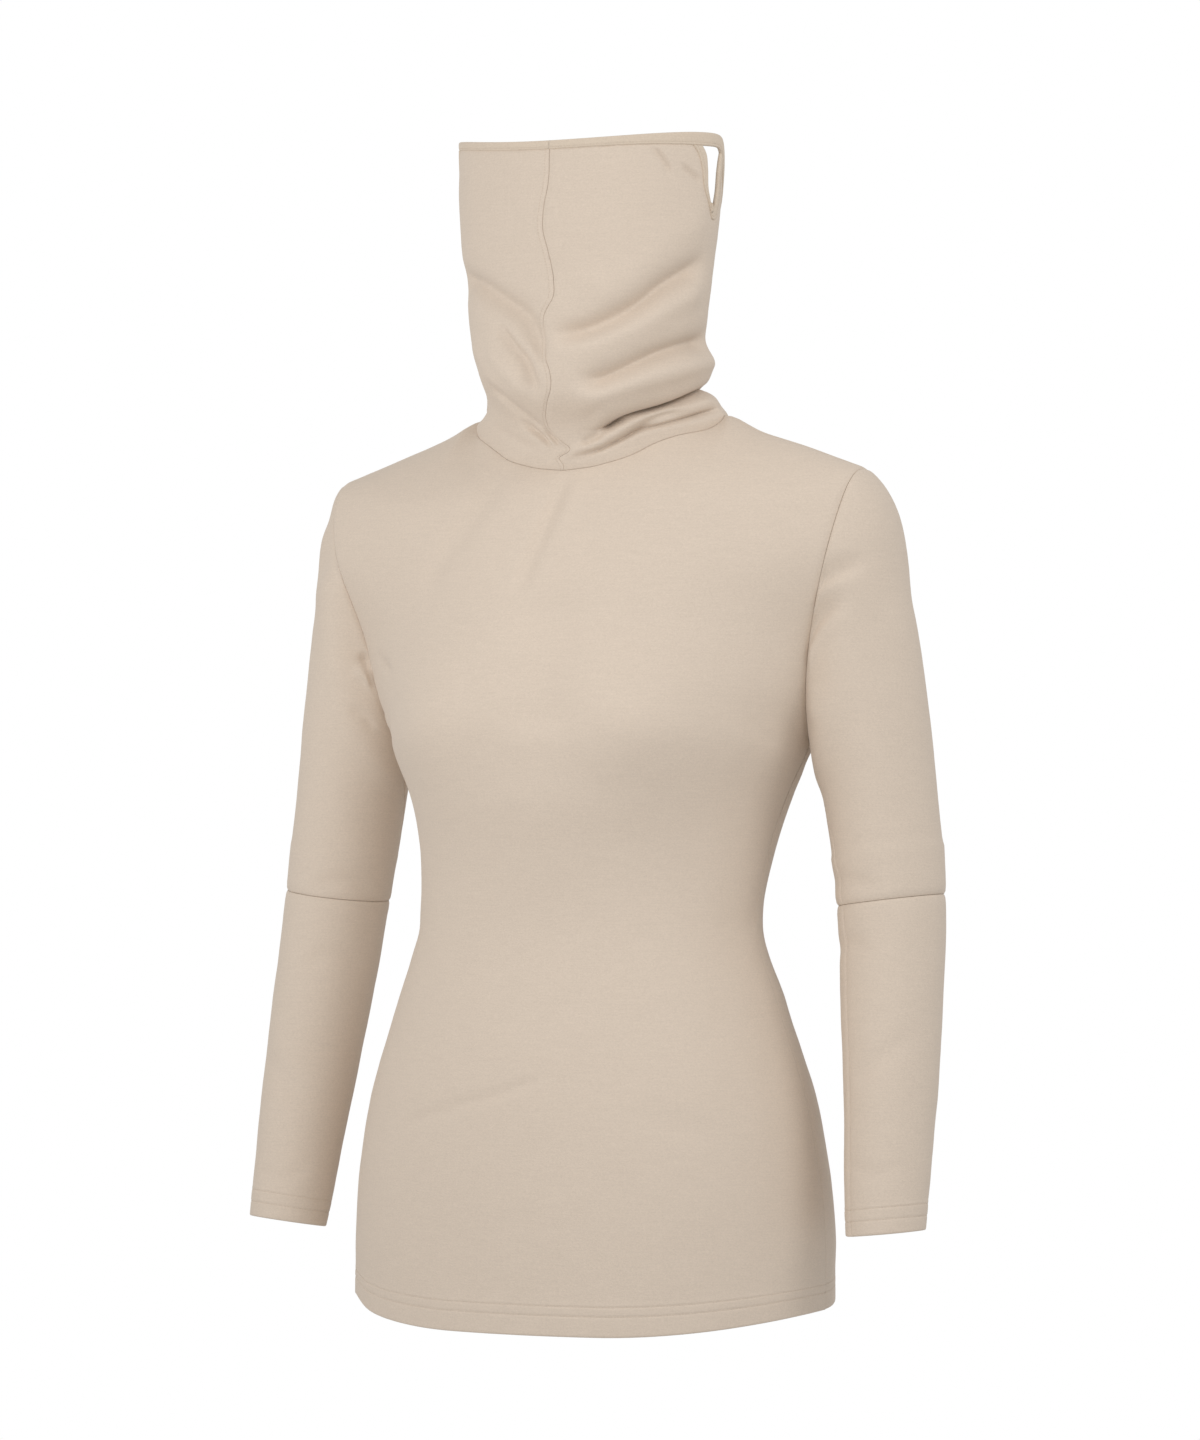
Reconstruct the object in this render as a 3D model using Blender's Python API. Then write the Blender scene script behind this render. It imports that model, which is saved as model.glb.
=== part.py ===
"""A fitted long-sleeved top with a pull-up collar and ear slots, in the hollow form that it has when it is worn.

The frame: +x is the wearer's left, -y the front and +z up. The origin is on the mid-plane, level with the shoulder
seams' upper ends. All sizes are millimetres, and MM turns them into metres when a mesh is made.

Each cut piece is a wall. A grid of points gives the cloth's outer face, the same points moved inwards give its inner
face, and the edges are joined. Rows of a grid run up the body or down the arm, and its columns run round it.
"""

import math
from collections import namedtuple

import bpy
import numpy as np
from mathutils.kdtree import KDTree

MM = 0.001
CLOTH = 1.5  # thickness of the brushed knit
SEAM_GAP = 0.3  # between two pieces that are sewn together
BINDING_PROUD = 0.7  # how far a folded binding stands out from the cloth on each face
RIM_BINDING_WIDTH = 7.4
MOST_SEAM_LEAN = 0.55  # the cosine of how far a wall's end may lean at a seam
SAME_PLACE = 0.02  # points of two pieces this close are one place on their seam

CLOTH_COLOUR = (0.64, 0.545, 0.44, 1.0)
CLOTH_ROUGHNESS = 0.9

# ---------------------------------------------------------------- the body

# One row for each level of a body panel, from the hem up. A row runs from the mid-plane (x = 0) to the panel's side,
# which is the side seam up to the armpit and the armhole above it. `turn` is the angle that the row turns through
# on the way: 90 degrees where it reaches the side seam square to it, and less where the armhole cuts it short.
BodyRow = namedtuple("BodyRow", "level z_mid y_mid x_side y_side z_side turn steps")

FRONT_ROWS = [
    BodyRow("hem", -630, -124, 177.5, -4, -616, 90, 2),
    BodyRow("hip", -565, -123, 177, -4, -560, 90, 2),
    BodyRow("high hip", -477, -117, 165.5, -6, -476, 90, 2),
    BodyRow("below waist", -405, -106, 143, -6, -405, 90, 2),
    BodyRow("waist", -352, -97, 127, -8, -352, 90, 2),
    BodyRow("ribs", -300, -99, 130.5, 5, -302, 90, 2),
    BodyRow("under bust", -258, -110, 140, 17, -262, 90, 2),
    BodyRow("armpit", -214, -117, 156, 19, -228, 88, 2),
    BodyRow("bust", -176, -113, 164, -8, -198, 65, 3),
    BodyRow("chest", -124, -95, 173, -21, -148, 48, 3),
    BodyRow("upper chest", -77, -73, 190, -29, -87, 40, 2),
    BodyRow("yoke", -51, -61, 197, -16, -51, 38, 2),
]
BACK_ROWS = [
    BodyRow("hem", -622, 118, 177.5, -4, -616, 90, 2),
    BodyRow("hip", -560, 122, 177, -4, -560, 90, 2),
    BodyRow("high hip", -476, 110, 165.5, -6, -476, 90, 2),
    BodyRow("below waist", -405, 88, 143, -6, -405, 90, 2),
    BodyRow("waist", -352, 77, 127, -8, -352, 90, 2),
    BodyRow("ribs", -302, 86, 130.5, 5, -302, 90, 2),
    BodyRow("under bust", -256, 99, 140, 17, -262, 90, 2),
    BodyRow("armpit", -205, 109, 156, 19, -228, 88, 2),
    BodyRow("shoulder blade", -160, 114, 164, 42, -198, 66, 3),
    BodyRow("upper back", -105, 113, 174, 56, -148, 50, 3),
    BodyRow("back yoke", -49, 104, 190, 59, -87, 44, 2),
    BodyRow("back of neck", -18, 93, 197, 45, -51, 40, 2),
]
ARMPIT = 7  # the row of either table that ends at the armpit
SHOULDER_POINT = (199.0, 14.0, -34.5)  # the outer end of the shoulder seam

# The neckline is an ellipse seen from above. It dips at the front.
NECK_HALF_WIDTH = 89.0
NECK_FRONT = -52.0
NECK_BACK = 78.0
NECK_Z_FRONT = -35.0
NECK_Z_SIDE = 6.0
NECK_Z_BACK = 9.0
NECK_SHARE = 0.56  # the part of a panel's half width that ends at the neckline, the rest at the shoulder
NECK_COLUMNS = 8  # in a panel's half
SHOULDER_COLUMNS = 5
SHOULDER_TURN_IN = 0.75  # how far the cloth beside the neck runs inwards along the shoulder as it reaches the neckline

# The general fullness of the bust, as two soft rounds on the front panel.
BUST_X = 84.0
BUST_Z = -216.0
BUST_WIDTH = 52.0
BUST_HEIGHT = 44.0
BUST_DEPTH = 9.0

# ---------------------------------------------------------------- the sleeves

# One row for each ring of a sleeve below the armhole, given by its outermost and innermost points, its middle from
# front to back, half its depth from front to back, and how much higher it is in front than in the middle.
SleeveRow = namedtuple("SleeveRow", "level x_out z_out x_in z_in y_mid half_depth front_lift steps")

SLEEVE_ROWS = [
    SleeveRow("cap", 228, -128, 163, -250, 22, 46, 0, 2),
    SleeveRow("biceps", 238, -192, 167, -263, 24.5, 44, 0, 2),
    SleeveRow("upper arm", 246, -264, 171, -284, 25, 42, 0, 2),
    SleeveRow("elbow", 253, -329, 178.5, -338, 21.5, 40, 0, 2),
    SleeveRow("below elbow", 257.5, -418, 188, -426, 5, 37.5, 3, 2),
    SleeveRow("forearm", 259.5, -474, 194, -481, -8, 35, 6, 2),
    SleeveRow("above cuff", 260, -530, 199, -537, -21, 32, 6, 1),
    SleeveRow("cuff", 260, -557, 202, -563, -27, 30.5, 6, 0),
]
ELBOW = 3  # the row of the table where the upper sleeve is sewn to the lower one
CAP_STEPS = 4  # grid rows from the armhole to the first ring
CAP_OUTWARDS = 0.24  # how far the sleeve leaves the armhole straight out, halfway between its top and the armpit
CAP_SWELL = 1.1  # how strongly it does so
CUFF_DROP = {"left": -3.0, "right": 9.0}  # how much lower each cuff hangs than the table says: no two arms hang alike

# ---------------------------------------------------------------- the collar

# One row for each level of the collar's tube. `rise` is 0 at the neckline and 1 at the height FULL_RISE_Z.
CollarRow = namedtuple("CollarRow", "level rise half_width y_front y_back")

COLLAR_ROWS = [
    CollarRow("neckline", 0.0, NECK_HALF_WIDTH, NECK_FRONT, NECK_BACK),
    CollarRow("root", 0.06, 84, -55, 74),
    CollarRow("tuck", 0.12, 80, -60, 69),
    CollarRow("droop", 0.22, 83, -78, 63),
    CollarRow("low", 0.35, 86, -81, 60),
    CollarRow("middle", 0.5, 90, -79, 59),
    CollarRow("high", 0.72, 95.5, -79, 60),
    CollarRow("top", 1.0, 98, -75, 65),
]
FULL_RISE_Z = 197.0
RIM_Z_FRONT = 192.0
RIM_Z_SIDE = 199.0
RIM_TURN_ANGLE = 96.0  # where the rim turns down behind the ear
RIM_TURN_SOFTNESS = 2.5
RIM_BACK_ANGLE = 150.0  # where it is level again
RIM_BACK_DROP = 76.0
RIM_DROP_POWER = 1.6
COLLAR_COLUMNS = 2 * NECK_COLUMNS  # in a half, from the centre front to the centre back
COLLAR_ROWS_BELOW_SLOT = 15
COLLAR_ROWS_BESIDE_SLOT = 6

# The ear slot is a notch in the collar's top edge. Its edges are given as angles round the collar, 0 at the centre
# front and 90 at the side, from the notch's foot (rise 0) to the rim (rise 1). The binding fills the space between
# the cloth's edge and the opening, which starts at SLOT_FOOT.
SlotRow = namedtuple("SlotRow", "rise cloth_front open_front open_rear cloth_rear")

SLOT_ROWS = [
    SlotRow(0.0, 83.0, 84.0, 84.6, 86.0),
    SlotRow(0.2, 79.8, 81.0, 87.6, 90.0),
    SlotRow(0.4, 77.0, 79.8, 88.6, 92.6),
    SlotRow(0.7, 75.0, 79.2, 88.8, 93.2),
    SlotRow(0.88, 73.2, 78.2, 89.8, 93.6),
    SlotRow(1.0, 70.0, 75.3, 91.8, 94.4),
]
SLOT_BASE_COLUMN = 6  # the grid column that becomes the notch's front edge; the next one becomes its rear edge
SLOT_TIP = 0.73  # the notch's foot, as a share of the way from the neckline to the rim
SLOT_FOOT = 0.22  # where the opening starts, as a share of the notch's height

# The largest folds, as straight soft lines across the collar. Angles are signed: the wearer's left is positive.
# A negative depth is a trough.
Fold = namedtuple("Fold", "name angle_1 z_1 angle_2 z_2 width depth")

COLLAR_FOLDS = [
    Fold("upper trough", -2, 52, 92, 108, 13, -6.5),
    Fold("bulge over the upper trough", 5, 88, 80, 136, 15, 3.0),
    Fold("ridge between the troughs", 5, 36, 112, 92, 12, 4.0),
    Fold("middle trough", 10, -4, 118, 62, 11, -8.0),
    Fold("low bulge", 38, 14, 112, 40, 9, 5.5),
    Fold("roll crease", 18, -10, 112, 24, 5.5, -6.0),
    Fold("root roll", 8, -25, 112, 8, 6, 3.0),
    Fold("left trough", -72, 104, -8, 50, 12, -5.5),
    Fold("left pocket", -32, 54, -9, 26, 7, -6.5),
    Fold("left low ridge", -60, 60, -25, 22, 9, 3.5),
    Fold("left low crease", -48, 22, 0, -18, 6, -5.0),
    Fold("back crease", 150, 44, 222, 40, 9, -4.0),
    Fold("right side crease", -150, 66, -78, 38, 10, -5.0),
]
FOLD_RADIUS = 80.0  # turns an angle round the collar into a length


# ---------------------------------------------------------------- curves and lofts


def smoothstep(low, high, value):
    share = np.clip((value - low) / (high - low), 0.0, 1.0)
    return share * share * (3.0 - 2.0 * share)


def knots_of(curves):
    """The distance along a loft at each of its curves, averaged over the points of the curves."""
    lengths = np.linalg.norm(np.diff(curves, axis=0), axis=2).mean(axis=1)
    return np.concatenate([[0.0], np.cumsum(lengths)])


def slopes_of(curves, knots):
    """The slope at each curve, from its neighbours: exact for a parabola."""
    gaps = np.diff(knots)[:, None, None]
    chords = np.diff(curves, axis=0) / gaps
    inner = (chords[:-1] * gaps[1:] + chords[1:] * gaps[:-1]) / (gaps[1:] + gaps[:-1])
    return np.concatenate([chords[:1], inner, chords[-1:]])


def hermite(start, end, slope_start, slope_end, gap, share):
    s2, s3 = share**2, share**3
    return (
        (2 * s3 - 3 * s2 + 1) * start
        + (s3 - 2 * s2 + share) * gap * slope_start
        + (3 * s2 - 2 * s3) * end
        + (s3 - s2) * gap * slope_end
    )


def loft(curves, steps, knots=None, first_slope=None, last_slope=None, corner=None):
    """Rows of points on the smooth surface through the curves, steps[i] rows for each stretch after curve i.

    `corner` is (curve, weights): there the surface may have a corner along the loft, as sharp as each weight says.
    """
    knots = knots_of(curves) if knots is None else knots
    gaps = np.diff(knots)
    before = slopes_of(curves, knots)
    if last_slope is not None:
        before[-1] = last_slope
    after = before.copy()
    if first_slope is not None:
        after[0] = first_slope
    if corner:
        at, weights = corner
        weights = weights[:, None]
        chord_before = (curves[at] - curves[at - 1]) / gaps[at - 1]
        chord_after = (curves[at + 1] - curves[at]) / gaps[at]
        after[at] = (1 - weights) * before[at] + weights * chord_after
        before[at] = (1 - weights) * before[at] + weights * chord_before
    rows = []
    for i, gap in enumerate(gaps):
        for k in range(steps[i]):
            rows.append(hermite(curves[i], curves[i + 1], after[i], before[i + 1], gap, k / steps[i]))
    rows.append(curves[-1])
    return np.array(rows)


def column_of(rows, key, values):
    """A table's column, read between its rows."""
    return np.interp(values, [r.rise for r in rows], [getattr(r, key) for r in rows])


def smooth_column(rows, key, values):
    """A table's column, read from a smooth curve through its rows."""
    knots = np.array([r.rise for r in rows])
    heights = np.array([float(getattr(r, key)) for r in rows])
    slopes = slopes_of(heights[:, None, None], knots)[:, 0, 0]
    at = np.clip(np.searchsorted(knots, values, side="right") - 1, 0, len(knots) - 2)
    gap = knots[at + 1] - knots[at]
    share = (values - knots[at]) / gap
    return hermite(heights[at], heights[at + 1], slopes[at], slopes[at + 1], gap, share)


# ---------------------------------------------------------------- walls


class Cloth:
    """A grid of points on a piece's outer face, with the direction that is outwards at each."""

    def __init__(self, points, closed=False, flip=False, missing=()):
        self.points = points
        self.closed = closed
        self.flip = flip
        self.missing = set(missing)
        along = np.gradient(points, axis=0)
        if closed:
            around = (np.roll(points, -1, axis=1) - np.roll(points, 1, axis=1)) / 2
        else:
            around = np.gradient(points, axis=1)
        normals = np.cross(around, along)
        if flip:
            normals = -normals
        self.normals = normals / np.linalg.norm(normals, axis=2, keepdims=True)
        self.stretch = np.ones(points.shape[:2])

    def pulled_in(self):
        """The points, with each edge drawn back along the cloth by half the gap of a seam."""
        points = self.points.copy()

        def draw_back(edge, inner):
            towards = points[inner] - points[edge]
            towards /= np.linalg.norm(towards, axis=-1, keepdims=True)
            points[edge] += SEAM_GAP / 2 * self.stretch[edge][..., None] * towards

        everything = slice(None)
        draw_back((0, everything), (1, everything))
        draw_back((-1, everything), (-2, everything))
        if not self.closed:
            draw_back((everything, 0), (everything, 1))
            draw_back((everything, -1), (everything, -2))
        if self.missing:
            beside = slice(min(row for row, _ in self.missing), None)
            draw_back((beside, SLOT_BASE_COLUMN), (beside, SLOT_BASE_COLUMN - 1))
            draw_back((beside, SLOT_BASE_COLUMN + 1), (beside, SLOT_BASE_COLUMN + 2))
        return points

    def quads(self):
        rows, columns = self.points.shape[:2]
        faces = []
        for i in range(rows - 1):
            for j in range(columns if self.closed else columns - 1):
                if (i, j) in self.missing:
                    continue
                k = (j + 1) % columns
                quad = (i * columns + j, i * columns + k, (i + 1) * columns + k, (i + 1) * columns + j)
                faces.append(quad[::-1] if self.flip else quad)
        return faces

    def wall(self, name, proud=0.0):
        """The closed wall as an object: `proud` is how far it stands out on each face."""
        points = self.pulled_in().reshape(-1, 3)
        normals = (self.normals * self.stretch[..., None]).reshape(-1, 3)
        outer = points + proud * normals
        inner = points - (CLOTH + proud) * normals
        faces = self.quads()
        used = sorted({corner for face in faces for corner in face})
        renumber = {old: new for new, old in enumerate(used)}
        faces = [tuple(renumber[corner] for corner in face) for face in faces]
        count = len(used)
        vertices = np.concatenate([outer[used], inner[used]]) * MM
        edges = {(f[i], f[(i + 1) % 4]) for f in faces for i in range(4)}
        open_edges = sorted(edge for edge in edges if edge[::-1] not in edges)
        inner_faces = [tuple(corner + count for corner in face[::-1]) for face in faces]
        # The diagonal of an end face starts at the higher of its two outer points, as it does in the piece sewn to it.
        heights = self.points.reshape(-1, 3)[used] @ np.array([0.0, 0.3, 1.0])
        rims = []
        for a, b in open_edges:
            if heights[a] > heights[b]:
                rims += [(b, a, b + count), (a, a + count, b + count)]
            else:
                rims += [(b, a, a + count), (b, a + count, b + count)]
        return make_object(name, vertices, faces + inner_faces + rims)


def make_object(name, vertices, faces):
    mesh = bpy.data.meshes.new(name)
    mesh.from_pydata([tuple(v) for v in vertices], [], faces)
    mesh.validate()
    mesh.shade_smooth()
    obj = bpy.data.objects.new(name, mesh)
    bpy.context.scene.collection.objects.link(obj)
    obj.data.materials.append(cloth_material(name))
    return obj


def cloth_material(name):
    material = bpy.data.materials.new(name + " knit")
    material.use_nodes = True
    shader = material.node_tree.nodes["Principled BSDF"]
    shader.inputs["Base Color"].default_value = CLOTH_COLOUR
    shader.inputs["Roughness"].default_value = CLOTH_ROUGHNESS
    shader.inputs["Metallic"].default_value = 0.0
    return material


# ---------------------------------------------------------------- the forms


def neck_ring(angles):
    """Points of the neckline at these angles in degrees, from the centre front (0) by the side (90) to the back."""
    turn = np.radians(angles)
    middle, half = (NECK_FRONT + NECK_BACK) / 2, (NECK_BACK - NECK_FRONT) / 2
    end = np.where(np.cos(turn) > 0, NECK_Z_FRONT, NECK_Z_BACK)
    z = end + (NECK_Z_SIDE - end) * np.abs(np.sin(turn)) ** 3
    return np.stack([NECK_HALF_WIDTH * np.sin(turn), middle - half * np.cos(turn), z], axis=-1)


def half_columns():
    """Where a panel's columns are, from its middle (0) to its side (1)."""
    neck = [NECK_SHARE * k / NECK_COLUMNS for k in range(NECK_COLUMNS + 1)]
    shoulder = [NECK_SHARE + (1 - NECK_SHARE) * k / SHOULDER_COLUMNS for k in range(1, SHOULDER_COLUMNS + 1)]
    return np.array(neck + shoulder)


def body_curve(row, columns):
    turn = math.radians(row.turn)
    across = np.sin(turn * columns) / math.sin(turn)
    forward = (np.cos(turn * columns) - math.cos(turn)) / (1 - math.cos(turn))
    rise = smoothstep(0.2, 1.0, columns)
    return np.stack(
        [
            row.x_side * across,
            row.y_side + (row.y_mid - row.y_side) * forward,
            row.z_mid + (row.z_side - row.z_mid) * rise,
        ],
        axis=-1,
    )


def top_curve(columns, back):
    """A panel's top edge: the neckline, then the shoulder seam."""
    share = np.minimum(columns / NECK_SHARE, 1.0)
    neck = neck_ring(180 - 90 * share if back else 90 * share)
    out = np.maximum((columns - NECK_SHARE) / (1 - NECK_SHARE), 0.0)[:, None]
    corner = neck_ring(np.array([90.0]))
    return neck + out * (np.array(SHOULDER_POINT) - corner)


def add_bust(points):
    """Moves the front panel's points out over the bust."""
    x, z = np.abs(points[..., 0]), points[..., 2]
    near = np.exp(-(((x - BUST_X) / BUST_WIDTH) ** 2) - ((z - BUST_Z) / BUST_HEIGHT) ** 2)
    points[..., 1] -= BUST_DEPTH * near
    return points


def half_panel(rows, opposite, back):
    """One half of a body panel, on the wearer's left. The opposite panel's last row gives the way over the shoulder."""
    columns = half_columns()
    curves = np.array([body_curve(row, columns) for row in rows] + [top_curve(columns, back)])
    side_lengths = np.linalg.norm(np.diff(curves[: ARMPIT + 1, -1], axis=0), axis=1)
    knots = knots_of(curves)
    knots[1 : ARMPIT + 1] += np.cumsum(side_lengths)[-1] - knots[ARMPIT]
    knots = np.concatenate([[0.0], np.cumsum(side_lengths), knots[ARMPIT + 1 :]])
    knots[ARMPIT + 1 :] += knots[ARMPIT] - (knots_of(curves)[ARMPIT])
    over = body_curve(opposite[-1], columns)
    gap = knots[-1] - knots[-2]
    straight = (curves[-1] - curves[-2]) / gap
    rounded = (over - curves[-2]) / (2 * gap)
    at_shoulder = smoothstep(NECK_SHARE - 0.2, NECK_SHARE, columns)[:, None]
    last_slope = straight + at_shoulder * (rounded - straight)
    beside_neck = at_shoulder * (1 - smoothstep(NECK_SHARE, 1.0, columns))[:, None]
    inwards = neck_ring(np.array([90.0])) - np.array(SHOULDER_POINT)
    inwards *= SHOULDER_TURN_IN / np.linalg.norm(inwards)
    last_slope = last_slope + beside_neck * inwards * np.linalg.norm(last_slope, axis=1, keepdims=True)
    return loft(
        curves,
        [row.steps for row in rows],
        knots=knots,
        last_slope=last_slope,
        corner=(ARMPIT, smoothstep(0.8, 1.0, columns)),
    )


def mirrored(points):
    return points * np.array([-1.0, 1.0, 1.0])


def whole_panel(half):
    """A panel from side to side, from its half on the wearer's left."""
    return np.concatenate([mirrored(half[:, :0:-1]), half], axis=1)


def armhole_start():
    """The grid row of a panel that holds the armpit."""
    return sum(row.steps for row in FRONT_ROWS[:ARMPIT])


def sleeve_ring(row, turns):
    middle = np.array([(row.x_out + row.x_in) / 2, row.y_mid, (row.z_out + row.z_in) / 2])
    outwards = np.array([(row.x_out - row.x_in) / 2, 0.0, (row.z_out - row.z_in) / 2])
    forwards = np.array([0.0, -row.half_depth, row.front_lift])
    return middle + np.outer(np.cos(turns), outwards) + np.outer(np.sin(turns), forwards)


def sleeve_points(front_half, back_half):
    """A left sleeve's points, its columns running from the shoulder point by the front, the armpit and the back."""
    start = armhole_start()
    down_the_front = front_half[start:, -1][::-1]
    up_the_back = back_half[start:, -1]
    armhole = np.concatenate([down_the_front, up_the_back[1:-1]])
    turns = 2 * math.pi * np.arange(len(armhole)) / len(armhole)
    curves = np.array([armhole] + [sleeve_ring(row, turns) for row in SLEEVE_ROWS])
    way = (curves[1] - curves[0]) / knots_of(curves)[1]
    reach = np.linalg.norm(way, axis=1, keepdims=True)
    outwards = (CAP_OUTWARDS * (1 + np.cos(turns)))[:, None]
    leaving = (1 - outwards) * way / reach + outwards * np.array([1.0, 0.0, 0.0])
    first_slope = CAP_SWELL * reach * leaving / np.linalg.norm(leaving, axis=1, keepdims=True)
    return loft(curves, [CAP_STEPS] + [row.steps for row in SLEEVE_ROWS[:-1]], first_slope=first_slope)


def elbow_row():
    return CAP_STEPS + sum(row.steps for row in SLEEVE_ROWS[:ELBOW])


def hung(points, word):
    """One side's sleeve, its cuff let down from the elbow on."""
    below = np.arange(len(points)) - elbow_row()
    points = points.copy()
    points[..., 2] -= CUFF_DROP[word] * np.clip(below / below[-1], 0.0, 1.0)[:, None]
    return points


# ---------------------------------------------------------------- the collar's form


def rim_z(angles):
    """The height of the collar's top edge at these unsigned angles."""
    front = RIM_Z_FRONT + (RIM_Z_SIDE - RIM_Z_FRONT) * np.sin(np.radians(np.minimum(angles, 90.0))) ** 2
    past = RIM_TURN_SOFTNESS * np.logaddexp(0.0, (angles - RIM_TURN_ANGLE) / RIM_TURN_SOFTNESS)
    share = np.clip(past / (RIM_BACK_ANGLE - RIM_TURN_ANGLE), 0.0, 1.0)
    return front - RIM_BACK_DROP * (1 - (1 - share) ** RIM_DROP_POWER)


def cloth_top_z(angles):
    """The height where the collar's cloth meets its rim binding."""
    step = 1.0
    slope = (rim_z(angles + step) - rim_z(angles - step)) / (2 * math.radians(step) * FOLD_RADIUS)
    return rim_z(angles) - RIM_BINDING_WIDTH * np.sqrt(1 + slope**2)


def fold_push(angles, z):
    """How far the folds move the cloth outwards at these signed angles and heights."""
    push = np.zeros(np.broadcast(angles, z).shape)
    for fold in COLLAR_FOLDS:
        for whole_turn in (-360, 0, 360):
            start = np.array([math.radians(fold.angle_1 + whole_turn) * FOLD_RADIUS, fold.z_1])
            end = np.array([math.radians(fold.angle_2 + whole_turn) * FOLD_RADIUS, fold.z_2])
            line = end - start
            length = np.linalg.norm(line)
            here = np.stack(np.broadcast_arrays(np.radians(angles) * FOLD_RADIUS, z), axis=-1) - start
            along = here @ line / length
            across = (here[..., 0] * line[1] - here[..., 1] * line[0]) / length
            fade = smoothstep(-fold.width, 1.2 * fold.width, along)
            fade = fade * smoothstep(-fold.width, 1.2 * fold.width, length - along)
            push += fold.depth * fade * np.exp(-((across / fold.width) ** 2))
    return push


def collar_points(angles, z):
    """Points of the collar's outer face at these signed angles and heights."""
    angles, z = np.broadcast_arrays(angles, z)
    turn = np.radians(angles)
    root = neck_ring(np.abs(angles))[..., 2]
    rise = np.clip((z - root) / (FULL_RISE_Z - root), 0.0, 1.02)
    half_width = smooth_column(COLLAR_ROWS, "half_width", rise)
    y_front = smooth_column(COLLAR_ROWS, "y_front", rise)
    y_back = smooth_column(COLLAR_ROWS, "y_back", rise)
    middle, half_depth = (y_front + y_back) / 2, (y_back - y_front) / 2
    push = fold_push(angles, z) * smoothstep(0.0, 0.06, rise)
    outwards = np.stack([half_depth * np.sin(turn), -half_width * np.cos(turn)], axis=-1)
    outwards /= np.linalg.norm(outwards, axis=-1, keepdims=True)
    return np.stack(
        [
            half_width * np.sin(turn) + push * outwards[..., 0],
            middle - half_depth * np.cos(turn) + push * outwards[..., 1],
            z,
        ],
        axis=-1,
    )


def column_angles(columns, share):
    """The unsigned angle of each column of a collar half, at this share of the way up.

    The two columns beside the ear slot lean over to become its edges.
    """
    even = 180.0 / COLLAR_COLUMNS
    beside = np.clip((share - SLOT_TIP) / (1 - SLOT_TIP), 0.0, 1.0)
    below = smoothstep(0.0, 1.0, np.clip(share / SLOT_TIP, 0.0, 1.0))
    edges = []
    for key, column in (("cloth_front", SLOT_BASE_COLUMN), ("cloth_rear", SLOT_BASE_COLUMN + 1)):
        foot = getattr(SLOT_ROWS[0], key)
        base = even * column
        edges.append(base + (foot - base) * below if share < SLOT_TIP else column_of(SLOT_ROWS, key, beside))
    marks = [0, SLOT_BASE_COLUMN, SLOT_BASE_COLUMN + 1, COLLAR_COLUMNS]
    return np.interp(columns, marks, [0.0, float(edges[0]), float(edges[1]), 180.0])


def collar_row(columns, share, side):
    """A row of a collar half's points. `side` is 1 for the wearer's left and -1 for the right."""
    angles = column_angles(columns, share)
    root = neck_ring(angles)[..., 2]
    z = root + share * (cloth_top_z(angles) - root)
    return collar_points(side * angles, z)


def collar_half(side):
    below = [SLOT_TIP * k / COLLAR_ROWS_BELOW_SLOT for k in range(COLLAR_ROWS_BELOW_SLOT)]
    beside = [SLOT_TIP + (1 - SLOT_TIP) * k / COLLAR_ROWS_BESIDE_SLOT for k in range(COLLAR_ROWS_BESIDE_SLOT + 1)]
    columns = np.arange(COLLAR_COLUMNS + 1)
    points = np.array([collar_row(columns, share, side) for share in below + beside])
    notch = [(COLLAR_ROWS_BELOW_SLOT + k, SLOT_BASE_COLUMN) for k in range(COLLAR_ROWS_BESIDE_SLOT)]
    return Cloth(points, flip=side < 0, missing=notch)


def rim_half(side):
    """The binding round a half of the rim. It goes on over the ear slot's open top."""
    slot = SLOT_ROWS[-1]
    bridge = np.linspace(slot.open_front, slot.open_rear, 4)
    angles = np.sort(np.concatenate([column_angles(np.arange(COLLAR_COLUMNS + 1), 1.0), bridge]))
    low, high = cloth_top_z(angles), rim_z(angles)
    rows = [collar_points(side * angles, low + (high - low) * k / 2) for k in range(3)]
    return Cloth(np.array(rows), flip=side < 0)


def ear_binding(side):
    """The binding round an ear slot, from the rim down its front edge and up its rear edge."""
    shares = np.array([k / COLLAR_ROWS_BESIDE_SLOT for k in range(COLLAR_ROWS_BESIDE_SLOT + 1)])
    opening = SLOT_FOOT + (1 - SLOT_FOOT) * shares
    paths = []
    for key, rises in (("cloth_front", shares), ("open_front", opening)):
        paths.append((column_of(SLOT_ROWS, key, rises)[::-1], rises[::-1]))
    for n, (key, rises) in enumerate((("cloth_rear", shares), ("open_rear", opening))):
        angles, front_rises = paths[n]
        paths[n] = (
            np.concatenate([angles, column_of(SLOT_ROWS, key, rises)]),
            np.concatenate([front_rises, rises]),
        )
    rows = []
    for angles, rises in paths:
        root = neck_ring(angles)[..., 2]
        share = SLOT_TIP + (1 - SLOT_TIP) * rises
        rows.append(collar_points(side * angles, root + share * (cloth_top_z(angles) - root)))
    return Cloth(np.array(rows), flip=side < 0)


# ---------------------------------------------------------------- the garment


def clear_scene():
    for obj in list(bpy.data.objects):
        bpy.data.objects.remove(obj)


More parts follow.
